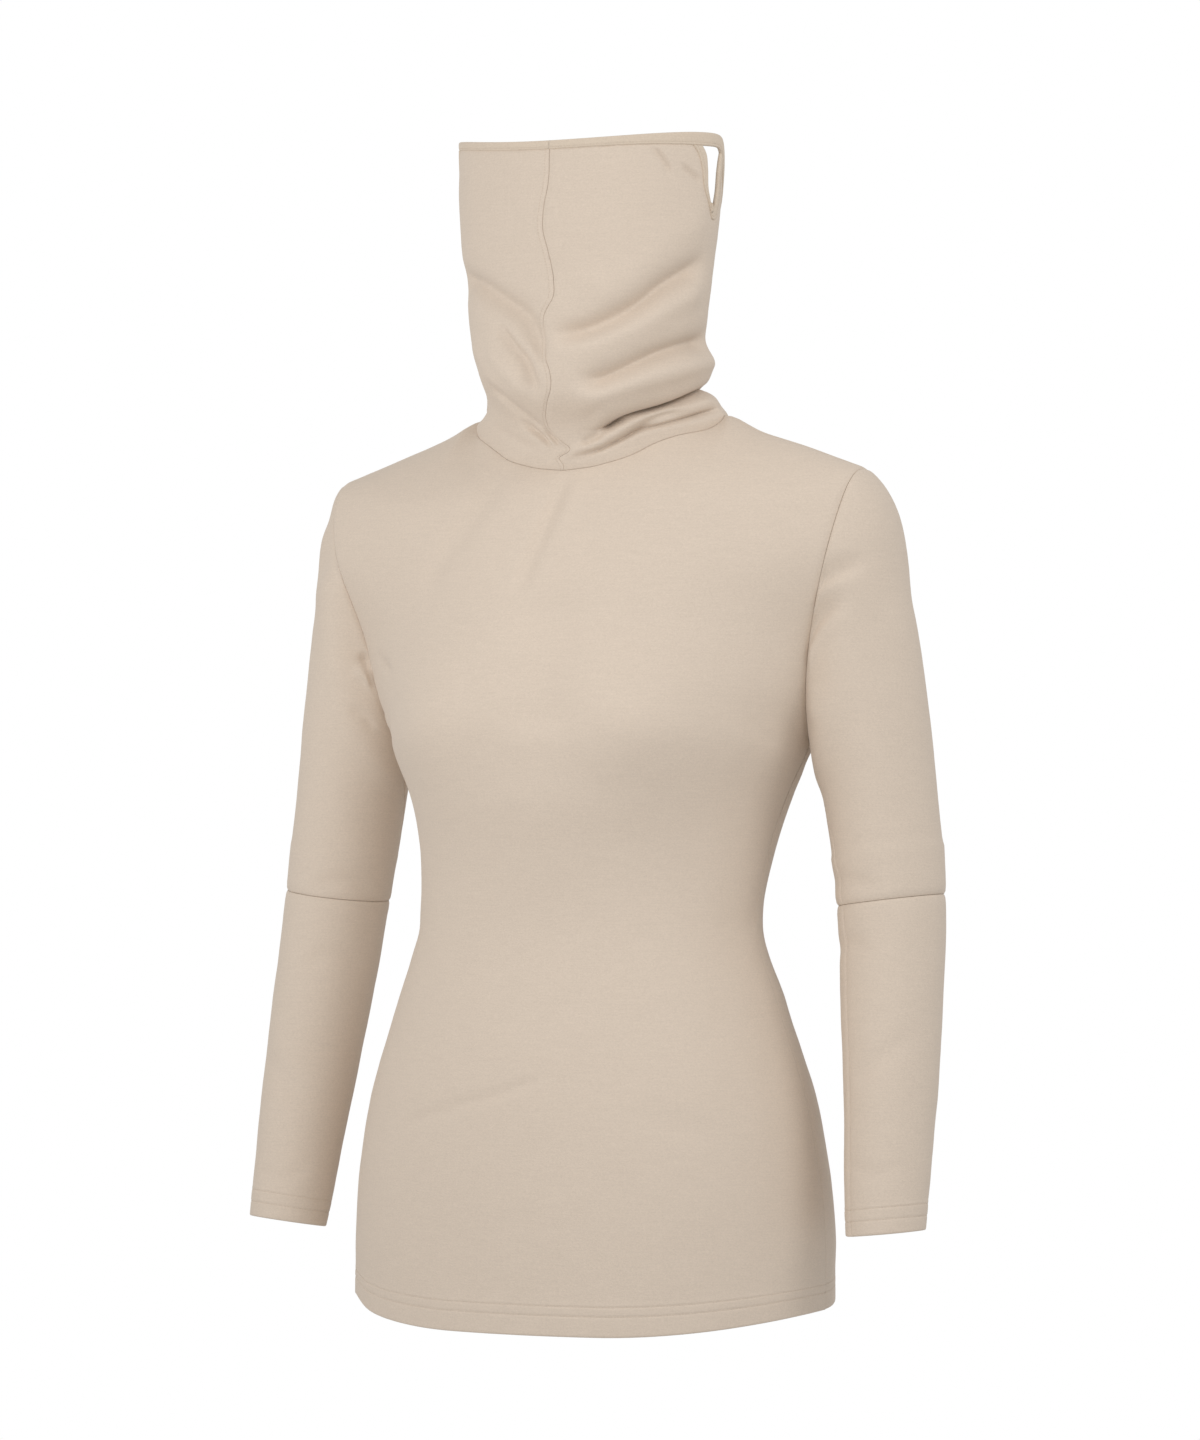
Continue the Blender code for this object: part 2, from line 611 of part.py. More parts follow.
def sew(pieces):
    """Where points of two or more pieces coincide, gives them one outward direction, so that the pieces' walls end
    side by side. A wall is stretched there to keep its thickness."""
    places = [(piece, place) for piece in pieces for place in np.ndindex(piece.points.shape[:2])]
    tree = KDTree(len(places))
    for number, (piece, place) in enumerate(places):
        tree.insert(piece.points[place], number)
    tree.balance()
    done = set()
    for number, (piece, place) in enumerate(places):
        if number in done:
            continue
        found = [index for _, index, _ in tree.find_range(piece.points[place], SAME_PLACE)]
        done.update(found)
        members = [places[index] for index in found]
        if len(members) == 1:
            continue
        middle = sum(piece.normals[place] for piece, place in members)
        middle = middle / np.linalg.norm(middle)
        for piece, place in members:
            lean = max(float(middle @ piece.normals[place]), MOST_SEAM_LEAN)
            piece.normals[place] = middle
            piece.stretch[place] = 1 / lean


def pieces_of_the_top():
    """Each piece's name, grid and how far it stands out."""
    front_half = add_bust(half_panel(FRONT_ROWS, BACK_ROWS, back=False))
    back_half = half_panel(BACK_ROWS, FRONT_ROWS, back=True)
    pieces = {
        "front": (Cloth(whole_panel(front_half)), 0.0),
        "back": (Cloth(whole_panel(back_half), flip=True), 0.0),
    }
    left_sleeve = sleeve_points(front_half, back_half)
    for side, word in ((1, "left"), (-1, "right")):
        sleeve = hung(left_sleeve if side > 0 else mirrored(left_sleeve), word)
        at = elbow_row()
        pieces["upper_sleeve_" + word] = (Cloth(sleeve[: at + 1], closed=True, flip=side < 0), 0.0)
        pieces["lower_sleeve_" + word] = (Cloth(sleeve[at:], closed=True, flip=side < 0), 0.0)
        pieces["collar_" + word] = (collar_half(side), 0.0)
        pieces["rim_binding_" + word] = (rim_half(side), BINDING_PROUD)
        pieces["ear_binding_" + word] = (ear_binding(side), BINDING_PROUD)
    return pieces


def build():
    clear_scene()
    pieces = pieces_of_the_top()
    sew([piece for piece, _ in pieces.values()])
    for name, (piece, proud) in pieces.items():
        piece.wall(name, proud)


build()
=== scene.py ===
"""The looks of a fitted long-sleeved top with a pull-up collar and ear slots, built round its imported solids.

The frame is the solids' own: +x is the wearer's left, -y the front and +z up. Sizes are in millimetres, and
MM turns them into metres where a mesh is made. The tables of the form are those of the part's source, but for
small changes at the ear slots, the cuffs, the rim, the bust and where NUDGES and HEM_LIFTS say. Here each cut
piece is the same wall on a finer grid, with its folds, seams, stitches and turned edges added.
"""

import math
from collections import namedtuple

import bpy
import numpy as np
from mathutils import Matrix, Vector, noise
from mathutils.kdtree import KDTree


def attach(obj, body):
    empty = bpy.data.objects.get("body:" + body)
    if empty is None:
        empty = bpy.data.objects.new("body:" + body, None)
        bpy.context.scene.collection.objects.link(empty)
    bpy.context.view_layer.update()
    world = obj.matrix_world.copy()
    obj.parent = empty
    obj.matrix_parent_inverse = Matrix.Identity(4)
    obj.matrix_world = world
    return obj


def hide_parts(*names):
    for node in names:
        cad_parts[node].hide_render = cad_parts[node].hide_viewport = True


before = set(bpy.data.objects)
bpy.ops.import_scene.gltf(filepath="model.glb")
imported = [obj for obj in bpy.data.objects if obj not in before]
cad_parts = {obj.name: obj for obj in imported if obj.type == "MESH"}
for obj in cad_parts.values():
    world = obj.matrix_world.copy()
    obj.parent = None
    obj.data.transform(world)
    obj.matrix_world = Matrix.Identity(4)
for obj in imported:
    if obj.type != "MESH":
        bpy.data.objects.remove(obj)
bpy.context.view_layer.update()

MM = 0.001
CLOTH = 1.5  # thickness of the brushed knit
SEAM_GAP = 0.12  # between two pieces that are sewn together, as it shows; the solids are 0.3 apart
BINDING_PROUD = 0.7  # how far a folded binding stands out from the cloth on each face
# The rim binding's visible width at signed angles round the collar.
RIM_BINDING_WIDTHS = [
    (-180, 6), (-60, 5.2), (0, 5.2), (25, 5.6), (42, 6.4), (58, 7.6), (76, 8.6), (96, 8), (120, 6.8), (180, 6),
]
BINDING_LAP = 0.9  # how far a binding reaches over the edge that it encloses
EDGE_LINES = (0.12, 0.35, 0.75, 1.3, 2.1, 3.2)  # distances from a seam at which a grid has extra lines,
FREE_EDGE_LINES = (0.15, 0.4, 0.8, 1.4, 2.2)  # from a hem's or a cuff's edge,
STITCH_LINES = (-1.7, -1.15, -0.7, -0.35, 0.0, 0.35, 0.7, 1.15, 1.7)  # and from a row of stitches
FAR = 1e3  # added to the distance from a hem or a cuff beyond the stretch that it ends
SIDES = ((1, "left"), (-1, "right"))
SEAM_WIDTH = 2.0  # how far a seam pulls the cloth beside it in
SEAM_MEETS = 1.9  # edges closer than this are sewn together
SEAM_TURN = 5.0  # the width beside a seam over which the cloth turns to the seam's own direction
EDGE_ROUNDING = 0.62
FREE_EDGE_ROUNDING = 1.25

# ---------------------------------------------------------------- the body

BodyRow = namedtuple("BodyRow", "level z_mid y_mid x_side y_side z_side turn steps")

FRONT_ROWS = [
    BodyRow("hem", -630, -124, 177.5, -4, -616, 90, 2),
    BodyRow("hip", -565, -123, 177, -4, -560, 90, 2),
    BodyRow("high hip", -477, -117, 165.5, -6, -476, 90, 2),
    BodyRow("below waist", -405, -106, 143, -6, -405, 90, 2),
    BodyRow("waist", -352, -97, 127, -8, -352, 90, 2),
    BodyRow("ribs", -300, -99, 130.5, 5, -302, 90, 2),
    BodyRow("under bust", -258, -110, 140, 17, -262, 90, 2),
    BodyRow("armpit", -214, -117, 156, 19, -228, 88, 2),
    BodyRow("bust", -176, -113, 164, -8, -198, 65, 3),
    BodyRow("chest", -124, -95, 173, -21, -148, 48, 3),
    BodyRow("upper chest", -77, -73, 190, -29, -87, 40, 2),
    BodyRow("yoke", -51, -61, 197, -16, -51, 38, 2),
]
BACK_ROWS = [
    BodyRow("hem", -622, 118, 177.5, -4, -616, 90, 2),
    BodyRow("hip", -560, 122, 177, -4, -560, 90, 2),
    BodyRow("high hip", -476, 110, 165.5, -6, -476, 90, 2),
    BodyRow("below waist", -405, 88, 143, -6, -405, 90, 2),
    BodyRow("waist", -352, 77, 127, -8, -352, 90, 2),
    BodyRow("ribs", -302, 86, 130.5, 5, -302, 90, 2),
    BodyRow("under bust", -256, 99, 140, 17, -262, 90, 2),
    BodyRow("armpit", -205, 109, 156, 19, -228, 88, 2),
    BodyRow("shoulder blade", -160, 114, 164, 42, -198, 66, 3),
    BodyRow("upper back", -105, 113, 174, 56, -148, 50, 3),
    BodyRow("back yoke", -49, 104, 190, 59, -87, 44, 2),
    BodyRow("back of neck", -18, 93, 197, 45, -51, 40, 2),
]
ARMPIT = 7
SHOULDER_POINT = (199.0, 14.0, -34.5)
NECK_HALF_WIDTH = 89.0
NECK_FRONT = -52.0
NECK_BACK = 78.0
NECK_Z_FRONT = -35.0
NECK_Z_SIDE = 6.0
NECK_Z_BACK = 9.0
# How the neckline rises in front, from the centre (0) to the side (1), as (angle, share).
NECK_RISE = [
    (0, 0), (15, 0.06), (20, 0.1), (34, 0.24), (42, 0.37), (50, 0.48), (60, 0.59), (68, 0.66), (75, 0.73),
    (82, 0.84), (90, 1),
]
NECK_SHARE = 0.56
SHOULDER_TURN_IN = 0.75
BUST_X = 84.0
BUST_Z = -216.0
BUST_WIDTH = 46.0
BUST_HEIGHT = 44.0
BUST_DEPTH = 11.5

PANEL_CELL = 3.6  # the size of a panel's grid, up the body
NECK_CELLS = 48  # grid columns from a panel's middle to the end of its neckline
SHOULDER_CELLS = 34
HALF_WIDTH_MM = 235.0  # a panel's half width along the cloth, for the lines near its edge
HEM_STITCHES = (13.0, 19.0)  # heights of the two rows above the hem's edge
HEM_BAND = 20.5  # height of the turned-up cloth
HEM_SCALE = 60.0  # the length of the lowest stretch of the body, for heights above the hem

# ---------------------------------------------------------------- the sleeves

SleeveRow = namedtuple("SleeveRow", "level x_out z_out x_in z_in y_mid half_depth front_lift steps")

SLEEVE_ROWS = [
    SleeveRow("cap", 228, -128, 163, -250, 22, 46, 0, 2),
    SleeveRow("biceps", 238, -192, 167, -263, 24.5, 44, 0, 2),
    SleeveRow("upper arm", 246, -264, 171, -284, 25, 42, 0, 2),
    SleeveRow("elbow", 253, -329, 178.5, -338, 21.5, 40, 0, 2),
    SleeveRow("below elbow", 257.5, -418, 188, -426, 5, 37.5, 3, 2),
    SleeveRow("forearm", 259.5, -474, 194, -481, -8, 35, 6, 2),
    SleeveRow("above cuff", 260, -530, 199, -537, -21, 32, 6, 1),
    SleeveRow("cuff", 260, -557, 202, -563, -27, 30.5, 6, 0),
]
ELBOW = 4  # the stretch of a sleeve that starts at the elbow's seam,
CUFF = 7  # and the last one, which ends at the cuff's edge
ELBOW_BAND = {"left": 0.95, "right": 0.3}  # how far the band above the elbow's seam stands out
CAP_OUTWARDS = 0.24
CAP_SWELL = 1.1
CUFF_DROP = {"left": -0.5, "right": 7.1}
# How much lower than in the solids a cuff's front is, and its back higher.
CUFF_TILT = {"left": 4.9, "right": 1.9}
CUFF_SLIM = 2.0
SLEEVE_LENGTHS = (95.0, 40.0, 48.0, 60.0, 90.0, 57.0, 57.0, 27.0)  # of the stretches, roughly
SLEEVE_CELL = 3.0
SLEEVE_RADIUS = 38.0  # turns an angle round the sleeve into a length
# How far round the underarm seam has run by the elbow: forwards on one arm, and backwards on the other.
SEAM_TWIST = {"left": math.radians(-50), "right": math.radians(32)}
CUFF_STITCHES = (10.0, 18.0)
CUFF_BAND = 19.5

# ---------------------------------------------------------------- the collar

CollarRow = namedtuple("CollarRow", "level rise half_width y_front y_back")

COLLAR_ROWS = [
    CollarRow("neckline", 0.0, NECK_HALF_WIDTH, NECK_FRONT, NECK_BACK),
    CollarRow("root", 0.06, 84, -55, 74),
    CollarRow("tuck", 0.12, 80, -60, 69),
    CollarRow("droop", 0.22, 83, -78, 63),
    CollarRow("low", 0.35, 86, -81, 60),
    CollarRow("middle", 0.5, 90, -79, 59),
    CollarRow("high", 0.72, 95.5, -79, 60),
    CollarRow("top", 1.0, 98, -75, 65),
]
FULL_RISE_Z = 197.0
RIM_Z_FRONT = 192.0
RIM_Z_SIDE = 199.0
RIM_RIGHT_LIFT = 3.0  # how much higher the rim stands on the wearer's right
RIM_TURN_ANGLE = 96.0
RIM_TURN_SOFTNESS = 2.5
RIM_BACK_ANGLE = 150.0
RIM_BACK_DROP = 76.0
RIM_DROP_POWER = 1.6
COLLAR_COLUMNS = 16
COLLAR_FINE_COLUMNS = 10  # counted from the centre front
COLLAR_CELLS_PER_COLUMN = (12, 7)  # in the fine columns and behind them
COLUMN_WIDTH = 18.0  # roughly, for the lines near a collar half's edges,
COLLAR_HEIGHT = 200.0  # and its height
COLLAR_STITCH_COLUMN = 0.15  # where the stitches beside the centre front run,
COLLAR_STITCH_LINES = [0.06, 0.1, 0.125, 0.15, 0.175, 0.2, 0.24]  # and the grid's lines there
COLLAR_ROWS_BELOW_SLOT = 140
COLLAR_ROWS_BESIDE_SLOT = 34

SlotRow = namedtuple("SlotRow", "rise cloth_front open_front open_rear cloth_rear")

SLOT_ROWS = [
    SlotRow(0.0, 88.5, 88.8, 89.4, 92.5),
    SlotRow(0.2, 84.0, 84.8, 90.4, 95.0),
    SlotRow(0.4, 79.0, 81.4, 92.0, 96.5),
    SlotRow(0.7, 75.5, 79.6, 92.2, 96.8),
    SlotRow(0.88, 71.8, 77.6, 93.4, 97.6),
    SlotRow(1.0, 67.6, 73.7, 94.6, 98.2),
]
SLOT_BASE_COLUMN = 6
SLOT_TIP = 0.73
# An ear binding's two edges: the columns of SLOT_ROWS that they follow, where they turn, and their dip there.
EAR_PATHS = (("cloth_front", "cloth_rear", 0.1, 0.11), ("open_front", "open_rear", 0.23, 0.1))
RIDGES = {"rim_binding_": 0.2, "ear_binding_": 0.3}  # where a binding is stitched, as a share of its width
FOLD_RADIUS = 80.0

# A fold runs along a path on its piece. `above` and `below` are its half widths on either side of the path,
# `depth` is how far it moves the cloth outwards (a trough is negative), and `sag` is how far the cloth over it
# hangs down.
Fold = namedtuple("Fold", "name path above below depth sag")

# Paths on the collar are (angle, height). Angles are signed: 0 at the centre front, the wearer's left positive.
COLLAR_FOLDS = [
    Fold("upper trough", [(-2, 56), (6, 58), (18, 61), (32, 69), (44, 79), (54, 90), (72, 103), (90, 111)],
         9, 9, -9.5, 3),
    Fold("bulge over it", [(8, 84), (35, 94), (52, 112), (70, 130), (88, 140)], 15, 12, 2.5, 0),
    Fold("ridge below it", [(2, 46), (21, 50), (39, 59), (53, 68), (68, 80), (92, 90)], 9, 9, 3.5, 0),
    Fold("middle trough", [(12, 24), (22, 27), (34, 33), (53, 44), (69, 51), (92, 57), (112, 59)],
         8, 8, -10.5, 4),
    Fold("low bulge", [(6, 7), (20, 8), (38, 17), (53, 24), (74, 33), (96, 40), (120, 43), (146, 40)],
         11, 8, 6.8, 1),
    Fold(
        "roll crease",
        [(13, -9), (19, -7.5), (23, -4.5), (27, -0.5), (32, 3), (38, 6), (54, 12), (69, 18), (86, 25),
         (109, 30), (144, 24)],
        3.4, 4.4, -9.5, 6,
    ),
    Fold("pocket", [(22, -6), (28, -1), (35, 3)], 3.5, 4.5, -5.5, 0),
    Fold("small pocket", [(10, -18), (16, -14), (23, -11)], 2.6, 2.8, -3.4, 0),
    Fold("under the roll", [(34, 0), (54, 9), (69, 14.5), (86, 21), (109, 26), (130, 24)], 3.0, 3.8, -6.5, 0),
    Fold("first strand", [(-2, -27), (4, -24), (20, -16), (34, -6), (46, 2), (59, 8), (80, 15), (100, 19)],
         3.6, 3.4, 3.8, 0),
    Fold("crease below it", [(4, -28), (14, -23), (30, -14), (40, -8), (50, -5), (62, 0), (77, 6),
          (93, 10), (108, 12)],
         2.2, 2.2, -6.4, 2),
    Fold("short crease", [(30, -13), (37, -8), (46, -2), (56, 3), (66, 6)], 1.8, 1.8, -3.2, 0),
    Fold("second strand", [(22, -23), (40, -14), (60, -6), (80, 0), (100, 5)], 3, 3, 1.4, 0),
    Fold("right front trough", [(-78, 106), (-45, 98), (-26, 85), (-12, 71), (-7, 58), (-6, 44), (-5, 28)],
         8, 11, -8.5, 2),
    Fold("right front pocket", [(-32, 72), (-25, 60), (-18, 48), (-12, 37), (-7, 24), (-5, 10)],
         4.5, 7, -6.0, 1),
    Fold("outside the right pocket", [(-42, 58), (-31, 42), (-20, 26), (-10, 8)], 6, 6, 2.2, 0),
    Fold("inside the right pocket", [(-13, 54), (-8, 44), (-3, 30)], 4, 4, 2.0, 0),
    Fold("right low ridge", [(-62, 62), (-42, 40), (-27, 22)], 10, 9, 1.6, 0),
    Fold("right low crease", [(-48, 30), (-30, 17), (-15, 1), (-9, -7), (-3, -19)], 4, 4.5, -4.6, 1),
    Fold("thin right ridge", [(-15, -2), (-9, -10), (-3, -20)], 1.8, 1.8, 2.2, 0),
    Fold("second right crease", [(-24, 2), (-16, -6), (-9, -13), (-3, -22)], 2.4, 2.6, -4.4, 0),
    Fold("crease by the seam", [(-11, -5), (-5, -12), (0, -20)], 1.8, 1.8, -3.2, 0),
    Fold("soft right crease", [(-50, 0), (-36, -8), (-22, -16), (-8, -23)], 4, 4, -1.2, 0),
    Fold("rim wrinkle", [(44, 187), (48, 183), (54, 172), (56, 166)], 1.7, 2.2, -2.6, 0),
    Fold("second rim wrinkle", [(60, 176), (64, 172), (72, 166), (76, 162)], 1.8, 2.2, -2.6, 0),
    Fold("right side trough", [(-154, 66), (-122, 52), (-96, 47), (-72, 56)], 9, 11, -6.0, 2),
    Fold("right side bulge", [(-140, 86), (-110, 70), (-86, 68)], 11, 11, 3.0, 0),
    Fold("right side crease", [(-142, 32), (-112, 15), (-86, 8), (-60, 12)], 5, 5, -7.0, 4),
    Fold("right root roll", [(-136, 12), (-98, 3), (-72, -4)], 6, 4, 2.5, 0),
    Fold("right upper trough", [(-122, 108), (-97, 94), (-84, 97)], 10, 11, -4.0, 1),
    Fold("back trough", [(146, 56), (166, 47), (198, 44), (232, 58)], 9, 11, -5.5, 2),
    Fold("back crease", [(150, 26), (176, 19), (216, 24)], 5, 5, -6.0, 4),
    Fold("back rim dip", [(150, 88), (178, 80), (206, 87)], 10, 10, -2.5, 0),
    Fold("behind the left ear", [(112, 118), (126, 104), (146, 94)], 8, 10, -2.5, 1),
]
FADE_SHARE = 0.32  # the share of a fold's length over which it dies away at each end,
LONGEST_FADE = 26.0  # the most that this comes to,
FADED_DEPTH = 0.08  # and the share of its depth that is left at the very end

# Where the seam at the centre front wanders to, as (height, angle).
FRONT_SEAM_PATH = [
    (-36, 1), (-31, 0), (-26, -1.5), (-23, 3), (-20, 4.2), (-16, 1), (-9, -4.5), (1, -5.5), (7, -3.2),
    (19, 1.8), (30, 2.2), (43, -1.2), (58, -2.8), (72, -1.8), (83, 2.8), (95, 3),
    (114, 0.6), (131, -2.1), (145, -1.8), (162, 0), (182, 0.2), (205, 0),
]
SEAM_PATH_REACH = 24.0  # degrees to either side over which the cloth goes with the seam

# Paths on a body panel are (distance along the cloth from the mid-plane, height).
FRONT_FOLDS = [
    Fold("fold from the left armpit", [(200, -226), (178, -218), (160, -204)], 5, 6, -0.9, 0),
    Fold("fold from the right armpit", [(-194, -226), (-172, -216), (-156, -202)], 5, 6, -0.9, 0),
    Fold("pucker at the right armhole", [(-176, -162), (-160, -167), (-144, -175)], 3, 3, -2.6, 0),
    Fold("nub at the right armhole", [(-192, -202), (-178, -209), (-168, -214)], 3, 3, 1.6, 0),
    Fold("fold below the neck", [(4, -30), (0, -52), (-6, -76), (-12, -100), (-18, -128)], 6, 7, -2.8, 0),
    Fold("ridge beside it", [(16, -36), (10, -64), (3, -94)], 8, 8, 1.2, 0),
    Fold("slant below the neck", [(-48, -26), (-62, -58), (-84, -90), (-108, -122)], 9, 11, -3.2, 0),
    Fold("between the busts", [(10, -112), (12, -168), (10, -228)], 24, 24, -5.0, 0),
    Fold("waist, left", [(200, -342), (160, -350), (116, -346)], 9, 11, -0.9, 0),
    Fold("waist, right", [(-190, -350), (-150, -356), (-112, -350)], 8, 10, -0.8, 0),
    Fold("long slant on the right hip", [(-114, -490), (-78, -480), (-36, -469), (5, -456), (20, -450)],
         1.7, 5, -1.4, 0),
    Fold("slant on the left hip", [(150, -498), (112, -484), (70, -478)], 9, 10, -0.6, 0),
]
BACK_FOLDS = [
    Fold("fold from the left armpit", [(186, -236), (156, -230), (126, -206)], 6, 8, -1.9, 0),
    Fold("fold from the right armpit", [(-188, -238), (-160, -226), (-134, -200)], 6, 8, -2.1, 0),
    Fold("hollow of the back", [(-66, -348), (-10, -356), (58, -350)], 9, 11, -1.8, 0),
    Fold("above the hollow", [(-92, -318), (-30, -322), (44, -316)], 7, 8, -1.2, 0),
    Fold("below the hollow", [(-48, -384), (12, -390), (84, -380)], 8, 9, -1.3, 0),
    Fold("across the left shoulder blade", [(46, -116), (88, -134), (128, -140)], 8, 9, -1.0, 0),
    Fold("across the right shoulder blade", [(-54, -126), (-92, -138), (-126, -150)], 8, 8, -1.0, 0),
    Fold("slant on the left hip", [(140, -486), (92, -474), (40, -470)], 8, 9, -1.0, 0),
]
# Paths on a sleeve are (angle, height). The angle is 0 on the outside, 90 in front and 180 under the arm.
SLEEVE_FOLDS = {
    "left": [
        Fold("fold at the armhole", [(107, -129), (80, -115), (69, -109), (60, -105), (49, -101), (38, -99)],
             6, 4.6, -4.6, 0),
        Fold("ridge under it", [(112, -142), (94, -130), (80, -121), (68, -116), (56, -112)], 4, 4, 2.6, 0),
        Fold("second fold at the armhole", [(130, -164), (108, -150), (96, -141), (84, -133),
              (74, -130), (64, -129)],
             5.5, 4.6, -4.6, 0),
        Fold("ridge under the second", [(132, -176), (112, -162), (98, -150), (86, -143), (74, -140)],
             4.5, 4.5, 2.8, 0),
        Fold("fullness by the armpit", [(132, -214), (124, -196), (118, -180)], 9, 9, 2.0, 0),
        Fold("inner elbow", [(170, -322), (120, -318), (70, -326)], 5, 6, -1.5, 0),
        Fold("below the elbow", [(178, -372), (130, -362), (84, -366)], 6, 7, -1.4, 0),
        Fold("forearm slant", [(30, -420), (76, -436), (124, -462)], 7, 8, -1.1, 0),
        Fold("behind the armhole", [(226, -190), (250, -160), (276, -142)], 5, 6, -1.8, 0),
        Fold("back of the elbow", [(224, -352), (262, -340), (300, -346)], 7, 8, -1.4, 0),
        Fold("over the cuff", [(40, -508), (84, -514), (140, -506)], 5, 6, -1.0, 0),
    ],
    "right": [
        Fold("slimmer cap", [(4, -42), (26, -57), (38, -70), (46, -90), (54, -118)], 16, 14, -6.5, 0),
        Fold("pucker at the armhole", [(106, -160), (115, -164), (126, -171)], 3, 3, -4.4, 0),
        Fold("ridge under it", [(104, -171), (117, -175), (130, -184)], 3, 3, 2.8, 0),
        Fold("fold at the armhole", [(142, -216), (122, -204), (104, -198)], 4, 5, -1.2, 0),
        Fold("inner elbow", [(168, -330), (124, -322), (78, -328)], 5, 6, -1.4, 0),
        Fold("below the elbow", [(172, -386), (126, -374), (82, -380)], 6, 7, -1.3, 0),
        Fold("forearm slant", [(24, -440), (70, -452), (120, -480)], 7, 8, -1.1, 0),
        Fold("behind the armhole", [(222, -200), (252, -168), (280, -150)], 5, 6, -1.9, 0),
        Fold("back of the elbow", [(230, -360), (266, -348), (304, -350)], 7, 8, -1.4, 0),
        Fold("over the cuff", [(50, -520), (100, -526), (148, -518)], 5, 6, -1.0, 0),
    ],
}

# Small moves of the cloth that the solids don't have: (centre, reach along each axis, move).
NUDGES = [
    ((-186, -25, -70), (60, 40, 45), (-3, 0, 0)),  # the right armhole
    ((92, 8, 3), (22, 45, 15), (5.5, 0, 0)),  # the collar's foot on the left
    ((-90, -2, 3), (22, 45, 14), (-7, 0, 1)),  # and on the right
    ((-85, -20, 36), (25, 50, 12), (3, 0, 0)),  # the collar's lower right side
    ((62, -34, -14), (32, 30, 22), (0, 0, 2.2)),  # the neckline left of the centre
    ((118, 18, 0), (30, 60, 26), (0, 0, -2.2)),  # the left shoulder, close to the neck
    ((10, -105, -290), (75, 60, 50), (0, -6, 0)),  # the middle of the front, under the bust
]
# Where the hem is drawn up: (panel, distance from the mid-plane, reach, lift).
HEM_LIFTS = [("front", -182, 24, 4.5), ("back", 194, 26, 6.0), ("back", -120, 60, 2.0)]

# ---------------------------------------------------------------- curves and lofts


def smoothstep(low, high, value):
    share = np.clip((value - low) / (high - low), 0.0, 1.0)
    return share * share * (3.0 - 2.0 * share)


def bell(distance, width):
    """1 where the distance is nothing, falling smoothly to almost 0 at twice the width."""
    return np.exp(-((distance / width) ** 2))


def unit(vectors):
    return vectors / np.linalg.norm(vectors, axis=-1, keepdims=True)


def nearest(values, wanted):
    """The place in a row of values of the one that is nearest to the wanted one."""
    return int(np.abs(values - wanted).argmin())


def run_of(points):
    """The distance along a line at each of its points."""
    return np.concatenate([[0.0], np.cumsum(np.linalg.norm(np.diff(points, axis=0), axis=1))])


def knots_of(curves):
    """The distance along a loft at each of its curves, averaged over the points of the curves."""
    lengths = np.linalg.norm(np.diff(curves, axis=0), axis=2).mean(axis=1)
    return np.concatenate([[0.0], np.cumsum(lengths)])


def slopes_of(curves, knots):
    """The slope at each curve, from its neighbours: exact for a parabola."""
    gaps = np.diff(knots)[:, None, None]
    chords = np.diff(curves, axis=0) / gaps
    inner = (chords[:-1] * gaps[1:] + chords[1:] * gaps[:-1]) / (gaps[1:] + gaps[:-1])
    return np.concatenate([chords[:1], inner, chords[-1:]])


def hermite(start, end, slope_start, slope_end, gap, share):
    s2, s3 = share**2, share**3
    return (
        (2 * s3 - 3 * s2 + 1) * start
        + (s3 - 2 * s2 + share) * gap * slope_start
        + (3 * s2 - 2 * s3) * end
        + (s3 - s2) * gap * slope_end
    )


def loft_at(curves, positions, knots=None, first_slope=None, last_slope=None, corner=None):
    """Rows of the smooth surface through the curves. Position 2.5 is halfway between curves 2 and 3.

    `corner` is (curve, weights): the surface may have a corner there, as sharp as each weight says.
    """
    knots = knots_of(curves) if knots is None else knots
    gaps = np.diff(knots)
    before = slopes_of(curves, knots)
    if last_slope is not None:
        before[-1] = last_slope
    after = before.copy()
    if first_slope is not None:
        after[0] = first_slope
    if corner:
        at, weights = corner
        weights = weights[:, None]
        chord_before = (curves[at] - curves[at - 1]) / gaps[at - 1]
        chord_after = (curves[at + 1] - curves[at]) / gaps[at]
        after[at] = (1 - weights) * before[at] + weights * chord_after
        before[at] = (1 - weights) * before[at] + weights * chord_before
    at = np.minimum(positions.astype(int), len(gaps) - 1)
    share = (positions - at)[:, None, None]
    return hermite(curves[at], curves[at + 1], after[at], before[at + 1], gaps[at][:, None, None], share)


def smooth_column(rows, key, values):
    """A table's column, read from a smooth curve through its rows."""
    return smooth_table([(r.rise, getattr(r, key)) for r in rows], values)


def smooth_table(pairs, values):
    """A table of (place, value), read from a smooth curve through it."""
    knots, heights = np.array(pairs, float).T
    slopes = slopes_of(heights[:, None, None], knots)[:, 0, 0]
    at = np.clip(np.searchsorted(knots, values, side="right") - 1, 0, len(knots) - 2)
    gap = knots[at + 1] - knots[at]
    share = (values - knots[at]) / gap
    return hermite(heights[at], heights[at + 1], slopes[at], slopes[at + 1], gap, share)


def lines_with(regular, extra, apart):
    """The extra lines, the first, the last, and each regular one more than `apart` from all those kept."""
    kept = sorted(set(extra) | {regular[0], regular[-1]})
    for line in regular:
        if min(abs(line - other) for other in kept) > apart:
            kept = sorted(kept + [line])
    return np.array(kept)


def positions_along(lengths, cell, extra):
    """Where a loft's rows are: one about every `cell`, and the extra ones.

    An extra one is (stretch, distance from its start), or from its end where the distance is negative.
    """
    regular = [0.0]
    for i, length in enumerate(lengths):
        count = max(round(length / cell), 2)
        regular += [i + k / count for k in range(1, count + 1)]
    wanted = [i + (mm / lengths[i] if mm >= 0 else 1 + mm / lengths[i]) for i, mm in extra]
    return lines_with(regular, wanted, 0.35 * cell / float(np.mean(lengths)))


# ---------------------------------------------------------------- the forms


